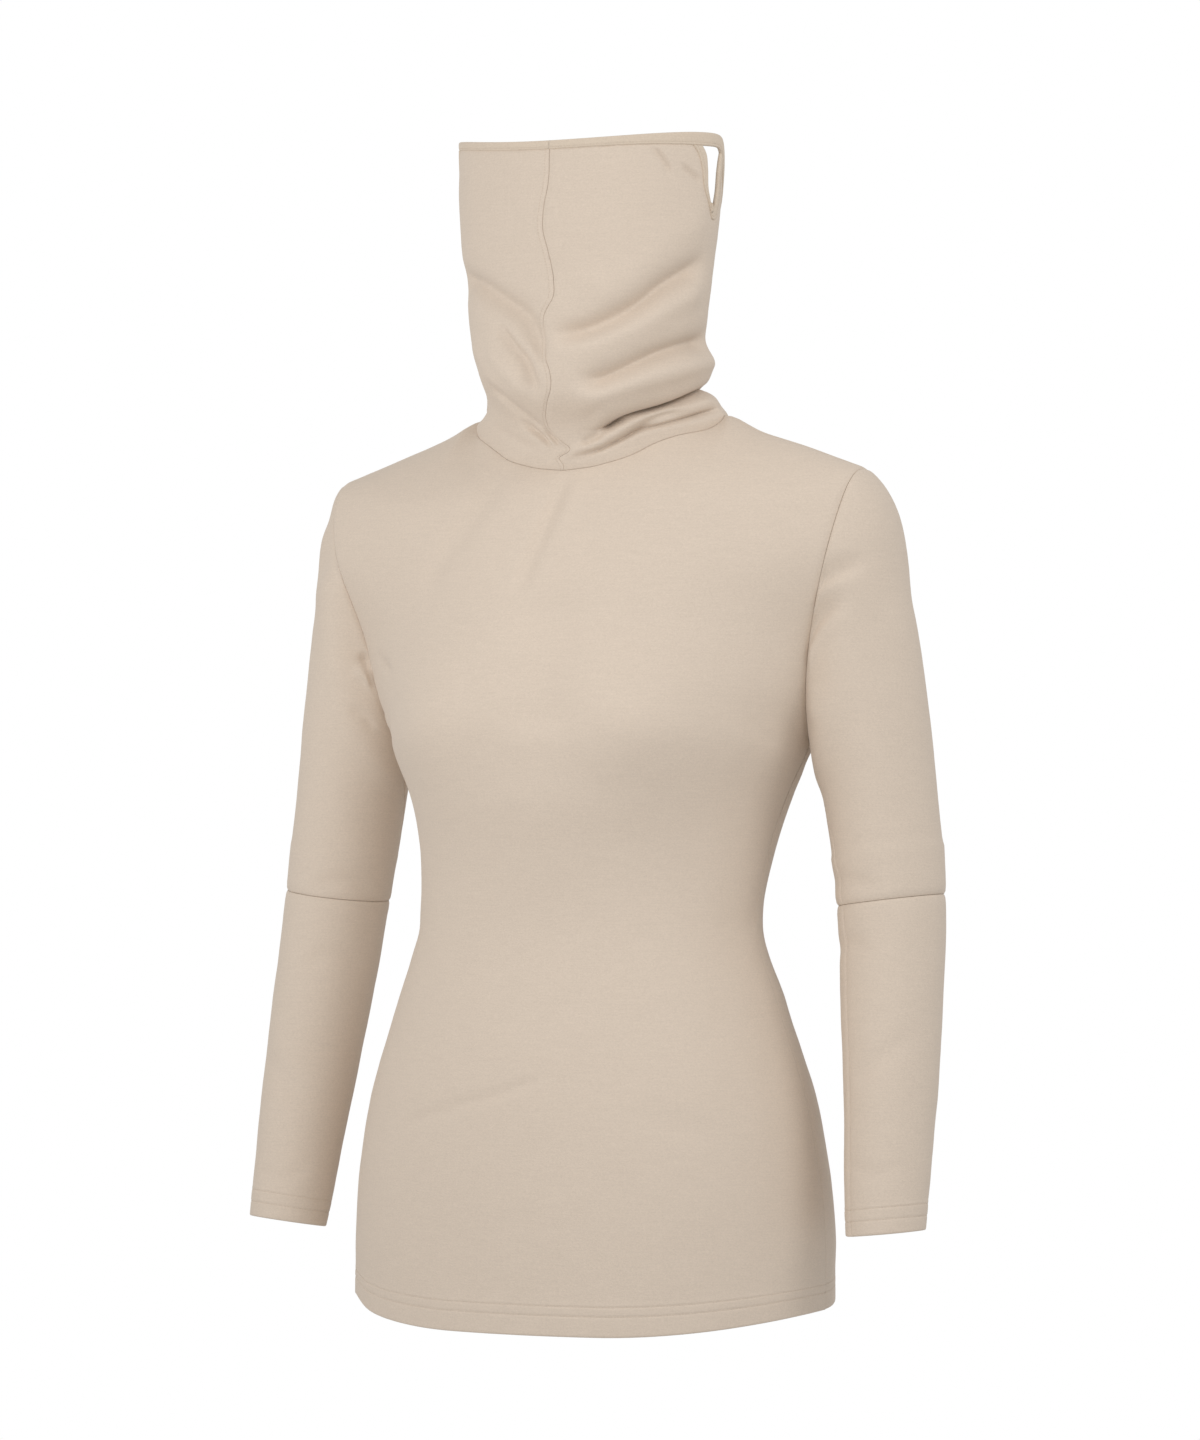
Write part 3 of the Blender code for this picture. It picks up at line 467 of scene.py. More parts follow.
def neck_ring(angles):
    """Points of the neckline at these angles: 0 at the centre front, 90 at the side and 180 at the back."""
    turn = np.radians(angles)
    middle, half = (NECK_FRONT + NECK_BACK) / 2, (NECK_BACK - NECK_FRONT) / 2
    in_front = np.cos(turn) > 0
    end = np.where(in_front, NECK_Z_FRONT, NECK_Z_BACK)
    rise = smooth_table(NECK_RISE, np.clip(np.degrees(np.arcsin(np.clip(np.abs(np.sin(turn)), 0, 1))), 0, 90))
    z = end + (NECK_Z_SIDE - end) * np.where(in_front, rise, np.abs(np.sin(turn)) ** 3)
    return np.stack([NECK_HALF_WIDTH * np.sin(turn), middle - half * np.cos(turn), z], axis=-1)


def half_columns():
    """Where a panel's columns are, from its middle (0) to its side (1)."""
    neck = [NECK_SHARE * k / NECK_CELLS for k in range(NECK_CELLS + 1)]
    shoulder = [NECK_SHARE + (1 - NECK_SHARE) * k / SHOULDER_CELLS for k in range(1, SHOULDER_CELLS + 1)]
    return lines_with(neck + shoulder, [1 - mm / HALF_WIDTH_MM for mm in EDGE_LINES] + [NECK_SHARE], 0.004)


def body_curve(row, columns):
    turn = math.radians(row.turn)
    across = np.sin(turn * columns) / math.sin(turn)
    forward = (np.cos(turn * columns) - math.cos(turn)) / (1 - math.cos(turn))
    y = row.y_side + (row.y_mid - row.y_side) * forward
    z = row.z_mid + (row.z_side - row.z_mid) * smoothstep(0.2, 1.0, columns)
    return np.stack([row.x_side * across, y, z], axis=-1)


def top_curve(columns, back):
    """A panel's top edge: the neckline, then the shoulder seam."""
    share = np.minimum(columns / NECK_SHARE, 1.0)
    neck = neck_ring(180 - 90 * share if back else 90 * share)
    out = np.maximum((columns - NECK_SHARE) / (1 - NECK_SHARE), 0.0)[:, None]
    corner = neck_ring(np.array([90.0]))
    return neck + out * (np.array(SHOULDER_POINT) - corner)


def add_bust(points):
    x, z = np.abs(points[..., 0]), points[..., 2]
    near = np.exp(-(((x - BUST_X) / BUST_WIDTH) ** 2) - ((z - BUST_Z) / BUST_HEIGHT) ** 2)
    points[..., 1] -= BUST_DEPTH * near
    return points


def panel_positions():
    """The rows of both body panels."""
    curves = [body_curve(row, half_columns()) for row in FRONT_ROWS] + [top_curve(half_columns(), False)]
    lengths = np.diff(knots_of(np.array(curves)))
    hem_lines = FREE_EDGE_LINES + tuple(row + mm for row in HEM_STITCHES for mm in STITCH_LINES)
    extra = [(0, mm * lengths[0] / HEM_SCALE) for mm in hem_lines]
    extra += [(ARMPIT, mm) for mm in EDGE_LINES] + [(ARMPIT - 1, -mm) for mm in EDGE_LINES[1:]]
    extra += [(len(lengths) - 1, -mm) for mm in EDGE_LINES] + [(ARMPIT - 1, 1e-9 + lengths[ARMPIT - 1])]
    return positions_along(lengths, PANEL_CELL, extra)


def half_panel(rows, opposite, back, positions):
    """One half of a body panel, on the wearer's left.

    The opposite panel's last row gives the way over the shoulder.
    """
    columns = half_columns()
    curves = np.array([body_curve(row, columns) for row in rows] + [top_curve(columns, back)])
    up_side = run_of(curves[: ARMPIT + 1, -1])
    knots = knots_of(curves)
    knots = np.concatenate([up_side, up_side[-1] + knots[ARMPIT + 1 :] - knots[ARMPIT]])
    over = body_curve(opposite[-1], columns)
    gap = knots[-1] - knots[-2]
    straight = (curves[-1] - curves[-2]) / gap
    rounded = (over - curves[-2]) / (2 * gap)
    at_shoulder = smoothstep(NECK_SHARE - 0.2, NECK_SHARE, columns)[:, None]
    last_slope = straight + at_shoulder * (rounded - straight)
    beside_neck = at_shoulder * (1 - smoothstep(NECK_SHARE, 1.0, columns))[:, None]
    inwards = neck_ring(np.array([90.0])) - np.array(SHOULDER_POINT)
    inwards *= SHOULDER_TURN_IN / np.linalg.norm(inwards)
    last_slope = last_slope + beside_neck * inwards * np.linalg.norm(last_slope, axis=1, keepdims=True)
    corner = (ARMPIT, smoothstep(0.8, 1.0, columns))
    return loft_at(curves, positions, knots, last_slope=last_slope, corner=corner)


def mirrored(points):
    return points * np.array([-1.0, 1.0, 1.0])


def whole_panel(half):
    """A panel from side to side, from its half on the wearer's left."""
    return np.concatenate([mirrored(half[:, :0:-1]), half], axis=1)


def sleeve_ring(row, turns):
    middle = np.array([(row.x_out + row.x_in) / 2, row.y_mid, (row.z_out + row.z_in) / 2])
    outwards = np.array([(row.x_out - row.x_in) / 2, 0.0, (row.z_out - row.z_in) / 2])
    forwards = np.array([0.0, -row.half_depth, row.front_lift])
    return middle + np.outer(np.cos(turns), outwards) + np.outer(np.sin(turns), forwards)


def sleeve_positions():
    """The rows of a sleeve, from the armhole to the cuff's edge."""
    edges = EDGE_LINES[:5]
    cuff_lines = FREE_EDGE_LINES + tuple(row - mm for row in CUFF_STITCHES for mm in STITCH_LINES)
    extra = [(0, mm) for mm in EDGE_LINES] + [(ELBOW - 1, -mm) for mm in edges]
    extra += [(ELBOW, mm) for mm in (0.0, *edges)] + [(CUFF, -mm) for mm in cuff_lines]
    return positions_along(SLEEVE_LENGTHS, SLEEVE_CELL, extra)


def sleeve_points(front_half, back_half, body_positions, positions, twist_by_elbow):
    """A left sleeve's points and the turn of each. Its columns run from the shoulder point by the front."""
    above = body_positions > ARMPIT - 1e-6
    steps = np.cumsum([0] + [row.steps for row in FRONT_ROWS])
    up = np.interp(body_positions[above], np.arange(len(steps)), steps)
    up = math.pi * (up - up[0]) / (up[-1] - up[0])
    armhole = np.concatenate([front_half[above, -1][::-1], back_half[above, -1][1:-1]])
    turns = np.concatenate([(math.pi - up)[::-1], (math.pi + up)[1:-1]])
    curves = np.array([armhole] + [sleeve_ring(row, turns) for row in SLEEVE_ROWS])
    way = (curves[1] - curves[0]) / knots_of(curves)[1]
    reach = np.linalg.norm(way, axis=1, keepdims=True)
    outwards = (CAP_OUTWARDS * (1 + np.cos(turns)))[:, None]
    leaving = (1 - outwards) * way / reach + outwards * np.array([1.0, 0.0, 0.0])
    first_slope = CAP_SWELL * reach * leaving / np.linalg.norm(leaving, axis=1, keepdims=True)
    rows = loft_at(curves, positions, first_slope=first_slope)
    twist = twist_by_elbow * smoothstep(0.1, 4.5, positions)
    shown = np.empty_like(rows)
    for i, row in enumerate(rows):
        for axis in range(3):
            shown[i, :, axis] = np.interp(turns + twist[i], turns, row[:, axis], period=2 * math.pi)
    return shown, turns[None, :] + twist[:, None]


def hung(points, turns, positions, word):
    """One side's sleeve with its cuff let down, a little narrower, and tilted towards the back."""
    steps = np.cumsum([0] + [row.steps for row in SLEEVE_ROWS[ELBOW - 1 : -1]])
    share = np.interp(positions, ELBOW + np.arange(len(steps)), steps / steps[-1])[:, None]
    middle = points.mean(axis=1, keepdims=True)
    points = points + (middle - points) * (CUFF_SLIM / 30.0 * share)[..., None]
    points[..., 2] -= share * (CUFF_DROP[word] + CUFF_TILT[word] * np.sin(turns))
    return points


# ---------------------------------------------------------------- folds


def nudged(points):
    """The points after the small moves of NUDGES."""
    moved = points.copy()
    for centre, reach, move in NUDGES:
        near = np.exp(-(((points - np.array(centre)) / np.array(reach)) ** 2).sum(axis=-1))
        moved += near[..., None] * np.array(move)
    return moved


def smooth_path(path, scale):
    """A fold's path in millimetres, with points close together on a smooth curve."""
    marks = np.array(path, float) * np.array([scale, 1.0])
    positions = np.linspace(0, len(marks) - 1, 8 * (len(marks) - 1) + 1)
    return loft_at(marks[:, None, :], positions, run_of(marks))[:, 0]


def fold_field(across, up, folds, scale, turn=None):
    """How far the folds move the cloth outwards, and let it sag, at these places of a piece's chart."""
    push, sag = np.zeros(across.shape), np.zeros(across.shape)
    for fold in folds:
        path = smooth_path(fold.path, scale)
        reach = 3 * max(fold.above, fold.below) + 2
        for shift in (0.0,) if turn is None else (-turn, 0.0, turn):
            line = path + np.array([shift, 0.0])
            low, high = line.min(axis=0) - reach, line.max(axis=0) + reach
            near = (across > low[0]) & (across < high[0]) & (up > low[1]) & (up < high[1])
            if not near.any():
                continue
            here = np.stack([across[near], up[near]], axis=-1)
            steps = np.diff(line, axis=0)
            lengths = np.linalg.norm(steps, axis=1)
            starts = np.concatenate([[0.0], np.cumsum(lengths)])
            offset = here[:, None, :] - line[None, :-1, :]
            share = np.clip((offset * steps).sum(axis=2) / lengths**2, 0.0, 1.0)
            gap = offset - share[..., None] * steps
            apart = np.linalg.norm(gap, axis=2)
            best = apart.argmin(axis=1)
            pick = np.arange(len(here))
            upward = np.stack([-steps[:, 1], steps[:, 0]], axis=1)
            upward = upward * np.where(steps[:, :1] < 0, -1.0, 1.0)
            side = np.sign((gap[pick, best] * upward[best]).sum(axis=1))
            distance = apart[pick, best]
            along = starts[best] + share[pick, best] * lengths[best]
            total = starts[-1]
            fade_over = min(FADE_SHARE * total, LONGEST_FADE)
            fade = smoothstep(0, fade_over, along) * smoothstep(0, fade_over, total - along)
            fade = FADED_DEPTH + (1 - FADED_DEPTH) * fade
            push[near] += fold.depth * fade * bell(distance, np.where(side > 0, fold.above, fold.below))
            if fold.sag:
                sag[near] += fold.sag * fade * bell(side * distance - 0.9 * fold.above, fold.above)
    return push, sag


def folds_round(turns, up, folds, radius):
    """The same on a tube of about this radius, where a fold's path is (angle, height)."""
    return fold_field(turns * radius, up, folds, math.radians(radius), 2 * math.pi * radius)


def soft_noise(points, size, seed):
    """Smooth noise of about -1 to 1. Its waves are about `size` long: one number, or one for each axis."""
    scaled = (points / np.array(size, float)).reshape(-1, 3) + seed
    return np.array([noise.noise(Vector(p)) for p in scaled]).reshape(points.shape[:-1])


# ---------------------------------------------------------------- the collar's form


def rim_z(signed):
    """The height of the collar's top edge at these signed angles."""
    angles = np.abs(signed)
    side = np.where(signed < 0, RIM_Z_SIDE + RIM_RIGHT_LIFT, RIM_Z_SIDE)
    front = RIM_Z_FRONT + (side - RIM_Z_FRONT) * np.sin(np.radians(np.minimum(angles, 90.0))) ** 2
    front = front - (side - RIM_Z_SIDE) * smoothstep(100.0, 170.0, angles)
    past = RIM_TURN_SOFTNESS * np.logaddexp(0.0, (angles - RIM_TURN_ANGLE) / RIM_TURN_SOFTNESS)
    share = np.clip(past / (RIM_BACK_ANGLE - RIM_TURN_ANGLE), 0.0, 1.0)
    return front - RIM_BACK_DROP * (1 - (1 - share) ** RIM_DROP_POWER)


def cloth_top_z(angles):
    """The height where the collar's cloth meets its rim binding."""
    step = 0.5
    side = np.where(angles < 0, -1.0, 1.0)
    inner = np.maximum(np.abs(angles) - step, 0.0)
    slope = (rim_z(angles + side * step) - rim_z(side * inner)) / (2 * math.radians(step) * FOLD_RADIUS)
    return rim_z(angles) - smooth_table(RIM_BINDING_WIDTHS, angles) * np.sqrt(1 + slope**2)


def collar_points(angles, z):
    """Points of the collar's outer face at these signed angles and heights."""
    angles, z = np.broadcast_arrays(angles, z)
    root = neck_ring(np.abs(angles))[..., 2]
    turn = np.radians(angles)
    push, sag = folds_round(turn, z, COLLAR_FOLDS, FOLD_RADIUS)
    rise = np.clip((z - root) / (FULL_RISE_Z - root), 0.0, 1.02)
    free = smoothstep(0.0, 0.07, rise)
    push = push * free
    sag = sag * free * (1 - smoothstep(0.8, 0.95, rise))
    keys = ("half_width", "y_front", "y_back")
    half_width, y_front, y_back = (smooth_column(COLLAR_ROWS, key, rise) for key in keys)
    middle, half_depth = (y_front + y_back) / 2, (y_back - y_front) / 2
    outwards = unit(np.stack([half_depth * np.sin(turn), -half_width * np.cos(turn)], axis=-1))
    x = half_width * np.sin(turn) + push * outwards[..., 0]
    y = middle - half_depth * np.cos(turn) + push * outwards[..., 1]
    return np.stack([x, y, z - sag], axis=-1)


def column_angles(columns, share):
    """The unsigned angle of each column of a collar half, at this share of the way up.

    The two columns beside the ear slot lean over to become its edges.
    """
    even = 180.0 / COLLAR_COLUMNS
    beside = np.array([np.clip((share - SLOT_TIP) / (1 - SLOT_TIP), 0.0, 1.0)])
    below = smoothstep(0.0, 1.0, np.clip(share / SLOT_TIP, 0.0, 1.0))
    edges = []
    for key, column in (("cloth_front", SLOT_BASE_COLUMN), ("cloth_rear", SLOT_BASE_COLUMN + 1)):
        foot = getattr(SLOT_ROWS[0], key)
        base = even * column
        leaning = base + (foot - base) * below
        edges.append(leaning if share < SLOT_TIP else smooth_column(SLOT_ROWS, key, beside)[0])
    marks = [0, SLOT_BASE_COLUMN, SLOT_BASE_COLUMN + 1, COLLAR_COLUMNS]
    return np.interp(columns, marks, [0.0, float(edges[0]), float(edges[1]), 180.0])


# ---------------------------------------------------------------- cloth walls


def directions(points, closed, flip):
    """The outward direction at each point of a grid."""
    along = np.gradient(points, axis=0)
    if closed:
        around = (np.roll(points, -1, axis=1) - np.roll(points, 1, axis=1)) / 2
    else:
        around = np.gradient(points, axis=1)
    normals = np.cross(around, along)
    normals /= np.maximum(np.linalg.norm(normals, axis=2, keepdims=True), 1e-9)
    return -normals if flip else normals


class Cloth:
    """A cut piece, named after its node: a grid of points on its outer face.

    Rows run up the body or down the arm, and columns round it. `free_edge` is the row of a hem or a cuff, and
    `from_free` is (each row's distance from it, the height of the turned-up cloth, the rows of stitches).
    """

    def __init__(self, name, points, closed=False, flip=False, missing=None, free_edge=None, from_free=None):
        self.name = name
        self.points = points
        self.closed = closed
        self.flip = flip
        self.missing = missing
        self.free_edge = free_edge
        self.from_free = from_free
        self.push = np.zeros(points.shape[:2])
        self.faces = self.quads()
        self.rim_edges, self.rim = self.find_rim()
        self.normals = directions(points, closed, flip)

    def quads(self):
        rows, columns = self.points.shape[:2]
        across = np.arange(columns if self.closed else columns - 1)
        i, j = np.meshgrid(np.arange(rows - 1), across, indexing="ij")
        if self.missing is not None:
            i, j = i[~self.missing], j[~self.missing]
        i, j = i.ravel(), j.ravel()
        k = (j + 1) % columns
        row, above = i * columns, (i + 1) * columns
        faces = np.stack([row + j, row + k, above + k, above + j], axis=1)
        return faces[:, ::-1] if self.flip else faces

    def find_rim(self):
        """The open edges as pairs of point numbers, and the numbers of the points on them."""
        ends = np.concatenate([self.faces[:, [k, (k + 1) % 4]] for k in range(4)])
        size = self.points.shape[0] * self.points.shape[1]
        key, back = ends[:, 0] * size + ends[:, 1], ends[:, 1] * size + ends[:, 0]
        edges = ends[~np.isin(key, back)]
        return edges, np.unique(edges)

    def on_free_edge(self, numbers):
        if self.free_edge is None:
            return np.zeros(len(numbers), bool)
        return numbers // self.points.shape[1] == self.free_edge % self.points.shape[0]

    def seam(self):
        """The numbers of the points on the sewn edges."""
        return self.rim[~self.on_free_edge(self.rim)]

    def measure(self):
        """Each point's distance from the nearest seam, and the seam point that it is nearest to."""
        flat = self.points.reshape(-1, 3)
        tree = KDTree(len(self.seam()))
        for number in self.seam():
            tree.insert(flat[number], int(number))
        tree.balance()
        found = [tree.find(p) for p in flat]
        shape = self.points.shape[:2]
        self.from_seam = np.array([f[2] for f in found]).reshape(shape)
        self.seam_point = np.array([f[1] for f in found]).reshape(shape)

    def draw_back(self):
        """Draws each sewn edge back along the cloth by half the gap of a seam."""
        flat = self.points.reshape(-1, 3)
        rows, columns = self.points.shape[:2]
        used = np.zeros(rows * columns, bool)
        used[self.faces.ravel()] = True
        seam = set(self.seam().tolist())
        moved = flat.copy()
        for number in seam:
            i, j = divmod(number, columns)
            for row, column in ((i + 1, j), (i - 1, j), (i, j + 1), (i, j - 1)):
                if self.closed:
                    column %= columns
                if not (0 <= row < rows and 0 <= column < columns):
                    continue
                other = row * columns + column
                if other in seam or not used[other]:
                    continue
                way = flat[other] - flat[number]
                moved[number] += SEAM_GAP / 2 * way / max(np.linalg.norm(way), 1e-6)
        self.points = moved.reshape(rows, columns, 3)

    def wall(self, material):
        """The closed wall as an object, drawn in at its seams and rounded at its edges."""
        depth, crisp = seam_care(self.name, self.points)
        push = self.push - depth * bell(self.from_seam, SEAM_WIDTH)
        rounding = crisp * rounded_edge(self.from_seam, EDGE_ROUNDING)
        outer = push - rounding
        inner = push - CLOTH + rounding
        if self.from_free is not None:
            free, band, stitches = self.from_free
            turned = 1 - smoothstep(band - 1.0, band + 1.2, free)
            groove = sum(0.36 * bell(free - row, 0.8) for row in stitches)
            round_free = rounded_edge(np.broadcast_to(free, outer.shape), FREE_EDGE_ROUNDING)
            outer = outer + 0.3 * turned - groove - round_free
            inner = inner - 0.75 * turned + round_free
        return self.thickened(outer, inner, material)

    def thickened(self, outer, inner, material):
        """The closed wall whose two faces stand this far out from the grid, as an object."""
        self.outside, inside = (self.points + shift[..., None] * self.normals for shift in (outer, inner))
        self.outside_normals = directions(self.outside, self.closed, self.flip)
        used = np.unique(self.faces)
        count = len(used)
        renumber = np.zeros(self.push.size, int)
        renumber[used] = np.arange(count)
        faces, rims = renumber[self.faces], renumber[self.rim_edges]
        sides = np.stack([rims[:, 1], rims[:, 0], rims[:, 0] + count, rims[:, 1] + count], axis=1)
        faces = np.concatenate([faces, faces[:, ::-1] + count, sides])
        vertices = np.concatenate([face.reshape(-1, 3)[used] for face in (self.outside, inside)])
        return make_mesh("cloth_" + self.name, vertices, faces, material)


def seam_care(name, points):
    """How deep a piece's seams pull it in, and how sharply its edges turn over, at each point."""
    height = points[..., 2]
    depth, crisp = np.full(height.shape, 1.1), np.full(height.shape, 1.25)
    if name in ("front", "back"):
        below_arm = 1 - smoothstep(-236, -222, height)
        at_neck = 1 - smoothstep(95, 110, np.abs(points[..., 0]))
        at_neck = at_neck * smoothstep(-60, -45, height)
        depth = depth - 0.95 * below_arm - 0.6 * at_neck
        crisp = crisp - 0.95 * below_arm - 0.5 * at_neck
    elif "collar" in name:
        at_neck = 1 - smoothstep(12, 20, height)
        depth, crisp = 0.6 - 0.15 * at_neck, crisp - 0.35 - 0.25 * at_neck
    else:
        at_elbow = 1 - smoothstep(-300, -280, height)
        depth, crisp = depth - 0.1 * at_elbow, crisp + 0.4 * at_elbow
    return depth, crisp


def rounded_edge(distance, radius):
    """How far a rounded edge falls away at this distance from it."""
    short = np.clip(1 - distance / radius, 0.0, 1.0)
    return radius * (1 - np.sqrt(np.maximum(1 - short**2, 0.0)))


def make_mesh(name, vertices, faces, material):
    """A mesh object that rides on the garment. Faces are rows of three or four point numbers."""
    mesh = bpy.data.meshes.new(name)
    mesh.from_pydata((vertices * MM).tolist(), [], faces.tolist() if hasattr(faces, "tolist") else faces)
    mesh.validate()
    mesh.shade_smooth()
    mesh.materials.append(material)
    obj = bpy.data.objects.new(name, mesh)
    bpy.context.scene.collection.objects.link(obj)
    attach(obj, "root")
    return obj


def sew_directions(pieces):
    """Gives points that meet at a seam one outward direction, to which the cloth beside it turns smoothly."""
    places = [(piece, number) for piece in pieces for number in piece.rim.tolist()]
    tree = KDTree(len(places))
    for index, (piece, number) in enumerate(places):
        tree.insert(piece.points.reshape(-1, 3)[number], index)
    tree.balance()
    shared = {}
    for index, (piece, number) in enumerate(places):
        total = piece.normals.reshape(-1, 3)[number].copy()
        met = {id(piece)}
        for _, other, _ in tree.find_range(piece.points.reshape(-1, 3)[number], SEAM_MEETS):
            neighbour, at = places[other]
            if id(neighbour) not in met:
                met.add(id(neighbour))
                total += neighbour.normals.reshape(-1, 3)[at]
        shared[id(piece), number] = total / np.linalg.norm(total)
    for piece in pieces:
        own = piece.normals.reshape(-1, 3)
        table = own.copy()
        for number in piece.rim.tolist():
            table[number] = shared[id(piece), number]
        weight = smoothstep(0.0, SEAM_TURN, piece.from_seam).reshape(-1, 1)
        mixed = unit(weight * own + (1 - weight) * table[piece.seam_point.ravel()])
        free = piece.rim[piece.on_free_edge(piece.rim)]
        mixed[free] = own[free]
        piece.normals = mixed.reshape(piece.points.shape)


# ---------------------------------------------------------------- the garment's pieces


def arc_chart(points):
    """Each point's distance along its row from the mid-plane, signed, and its height."""
    lengths = np.linalg.norm(np.diff(points, axis=1), axis=2)
    across = np.concatenate([np.zeros((len(points), 1)), np.cumsum(lengths, axis=1)], axis=1)
    middle = points.shape[1] // 2
    return across - across[:, middle : middle + 1], points[..., 2]


def body_piece(name, half, positions, folds):
    """The front or the back, its hem drawn up where HEM_LIFTS says."""
    points = whole_panel(half)
    across = arc_chart(points)[0]
    for panel, at, reach, lift in HEM_LIFTS:
        if panel == name:
            points[..., 2] += lift * bell(across - at, reach) * (1 - smoothstep(0.0, 1.2, positions))[:, None]
    points = nudged(points)
    from_hem = (positions * HEM_SCALE + np.where(positions > 1, FAR, 0.0))[:, None]
    turned_up = (from_hem, HEM_BAND, HEM_STITCHES)
    piece = Cloth(name, points, flip=name == "back", free_edge=0, from_free=turned_up)
    piece.push = fold_field(*arc_chart(points), folds, 1.0)[0]
    return piece


def sleeve_pieces(side, word, sleeve, turns, rows):
    """The upper and the lower sleeve of one side, from the points and turns of a left sleeve."""
    push = folds_round(turns, sleeve[..., 2], SLEEVE_FOLDS[word], SLEEVE_RADIUS)[0]
    sleeve = nudged(hung(sleeve if side > 0 else mirrored(sleeve), turns, rows, word))
    seam_column = nearest(turns[0], math.pi)
    from_underarm = np.linalg.norm(sleeve - sleeve[:, seam_column : seam_column + 1], axis=2)
    push = push - 0.95 * bell(from_underarm, 1.0) - 0.25 * bell(from_underarm, 4.0)
    at = nearest(rows, ELBOW)
    above = (rows <= ELBOW)[:, None]
    from_elbow = np.linalg.norm(sleeve[:, :1] - sleeve[at, 0], axis=2) * above
    band = smoothstep(0, 2, from_elbow) * (1 - smoothstep(35, 38, from_elbow)) * above
    push = push + ELBOW_BAND[word] * band * (0.3 + 0.7 * from_elbow / 36)
    from_cuff = ((CUFF + 1 - rows[at:]) * SLEEVE_LENGTHS[-1] + np.where(rows[at:] < CUFF, FAR, 0.0))[:, None]
    turned_up = (from_cuff, CUFF_BAND, CUFF_STITCHES)
    upper = Cloth("upper_sleeve_" + word, sleeve[: at + 1], True, side < 0)
    lower = Cloth("lower_sleeve_" + word, sleeve[at:], True, side < 0, free_edge=-1, from_free=turned_up)
    upper.push, lower.push = push[: at + 1], push[at:]
    return [upper, lower]


def collar_half(side, word):
    """One half of the collar, whose grid has no faces at the ear slot."""
    near = COLLAR_STITCH_LINES if side < 0 else []
    edge = [mm / COLUMN_WIDTH for mm in EDGE_LINES[:5]]
    ends = edge + [COLLAR_COLUMNS - mm for mm in edge]
    slot = [SLOT_BASE_COLUMN - mm for mm in edge] + [SLOT_BASE_COLUMN + 1 + mm for mm in edge]
    front, rear = COLLAR_CELLS_PER_COLUMN
    fine, coarse = COLLAR_FINE_COLUMNS, COLLAR_COLUMNS - COLLAR_FINE_COLUMNS
    regular = [k / front for k in range(fine * front)] + [fine + k / rear for k in range(coarse * rear + 1)]
    wanted = ends + slot + near + [SLOT_BASE_COLUMN, SLOT_BASE_COLUMN + 1]
    columns = lines_with(regular, wanted, 0.025)
    below = [SLOT_TIP * k / COLLAR_ROWS_BELOW_SLOT for k in range(COLLAR_ROWS_BELOW_SLOT)]
    count = COLLAR_ROWS_BESIDE_SLOT
    beside = [SLOT_TIP + (1 - SLOT_TIP) * k / count for k in range(count + 1)]
    edge = [mm / COLLAR_HEIGHT for mm in EDGE_LINES[:5]]
    shares = lines_with(below + beside, edge + [1 - mm for mm in edge] + [SLOT_TIP], 0.002)
    angles = side * np.array([column_angles(columns, share) for share in shares])
    root = neck_ring(np.abs(angles))[..., 2]
    z = root + shares[:, None] * (cloth_top_z(angles) - root)
    wander = smooth_table(FRONT_SEAM_PATH, z) * bell(angles, SEAM_PATH_REACH)
    points = nudged(collar_points(angles + wander * smoothstep(0.0, 0.02, shares)[:, None], z))
    missing = np.zeros((len(shares) - 1, len(columns) - 1), bool)
    inside = (columns[:-1] > SLOT_BASE_COLUMN - 1e-6) & (columns[1:] < SLOT_BASE_COLUMN + 1 + 1e-6)
    missing[nearest(shares, SLOT_TIP) :, inside] = True
    piece = Cloth("collar_" + word, points, flip=side < 0, missing=missing)
    piece.columns = columns
    return piece


def binding(name, grid, flip, material, ridge):
    """A folded strip and its object: a rounded band, stitched at this share of the way across it."""
    strip = Cloth(name, grid, flip=flip)
    lengths = np.linalg.norm(np.diff(grid, axis=0), axis=2)
    across = np.concatenate([np.zeros((1, grid.shape[1])), np.cumsum(lengths, axis=0)])
    strip.share = across / across[-1:]
    edge = np.minimum(across, across[-1:] - across)
    full = CLOTH / 2 + BINDING_PROUD
    round_off = np.sqrt(np.maximum(1 - np.clip(1 - edge / 1.3, 0.0, 1.0) ** 2, 0.03))
    groove = 0.45 * bell(strip.share - ridge, 0.07)
    outer = -CLOTH / 2 + full * round_off - groove
    return strip, strip.thickened(outer, -CLOTH / 2 - full * round_off, material)


def even_angles(low, high, spacing):
    """Angles from `low` to `high` whose points on the rim are evenly spaced."""
    fine = np.linspace(low, high, 2000)
    line = collar_points(fine, rim_z(fine))
    length = run_of(line)
    return np.interp(np.linspace(0, length[-1], int(length[-1] / spacing) + 1), length, fine)


def rim_grid(side):
    """The rim binding's grid, from below the cloth's edge to the rim."""
    ends = 180.0 * SEAM_GAP / 2 / 500.0
    angles = even_angles(ends, 180.0 - ends, 1.7)
    low, high = cloth_top_z(side * angles) - BINDING_LAP, rim_z(side * angles)
    shares = (0, 0.03, 0.08, 0.15, 0.24, 0.32, 0.38, 0.44, 0.5, 0.58, 0.68, 0.78, 0.86, 0.93, 0.975, 1)
    return np.array([collar_points(side * angles, low + (high - low) * share) for share in shares])


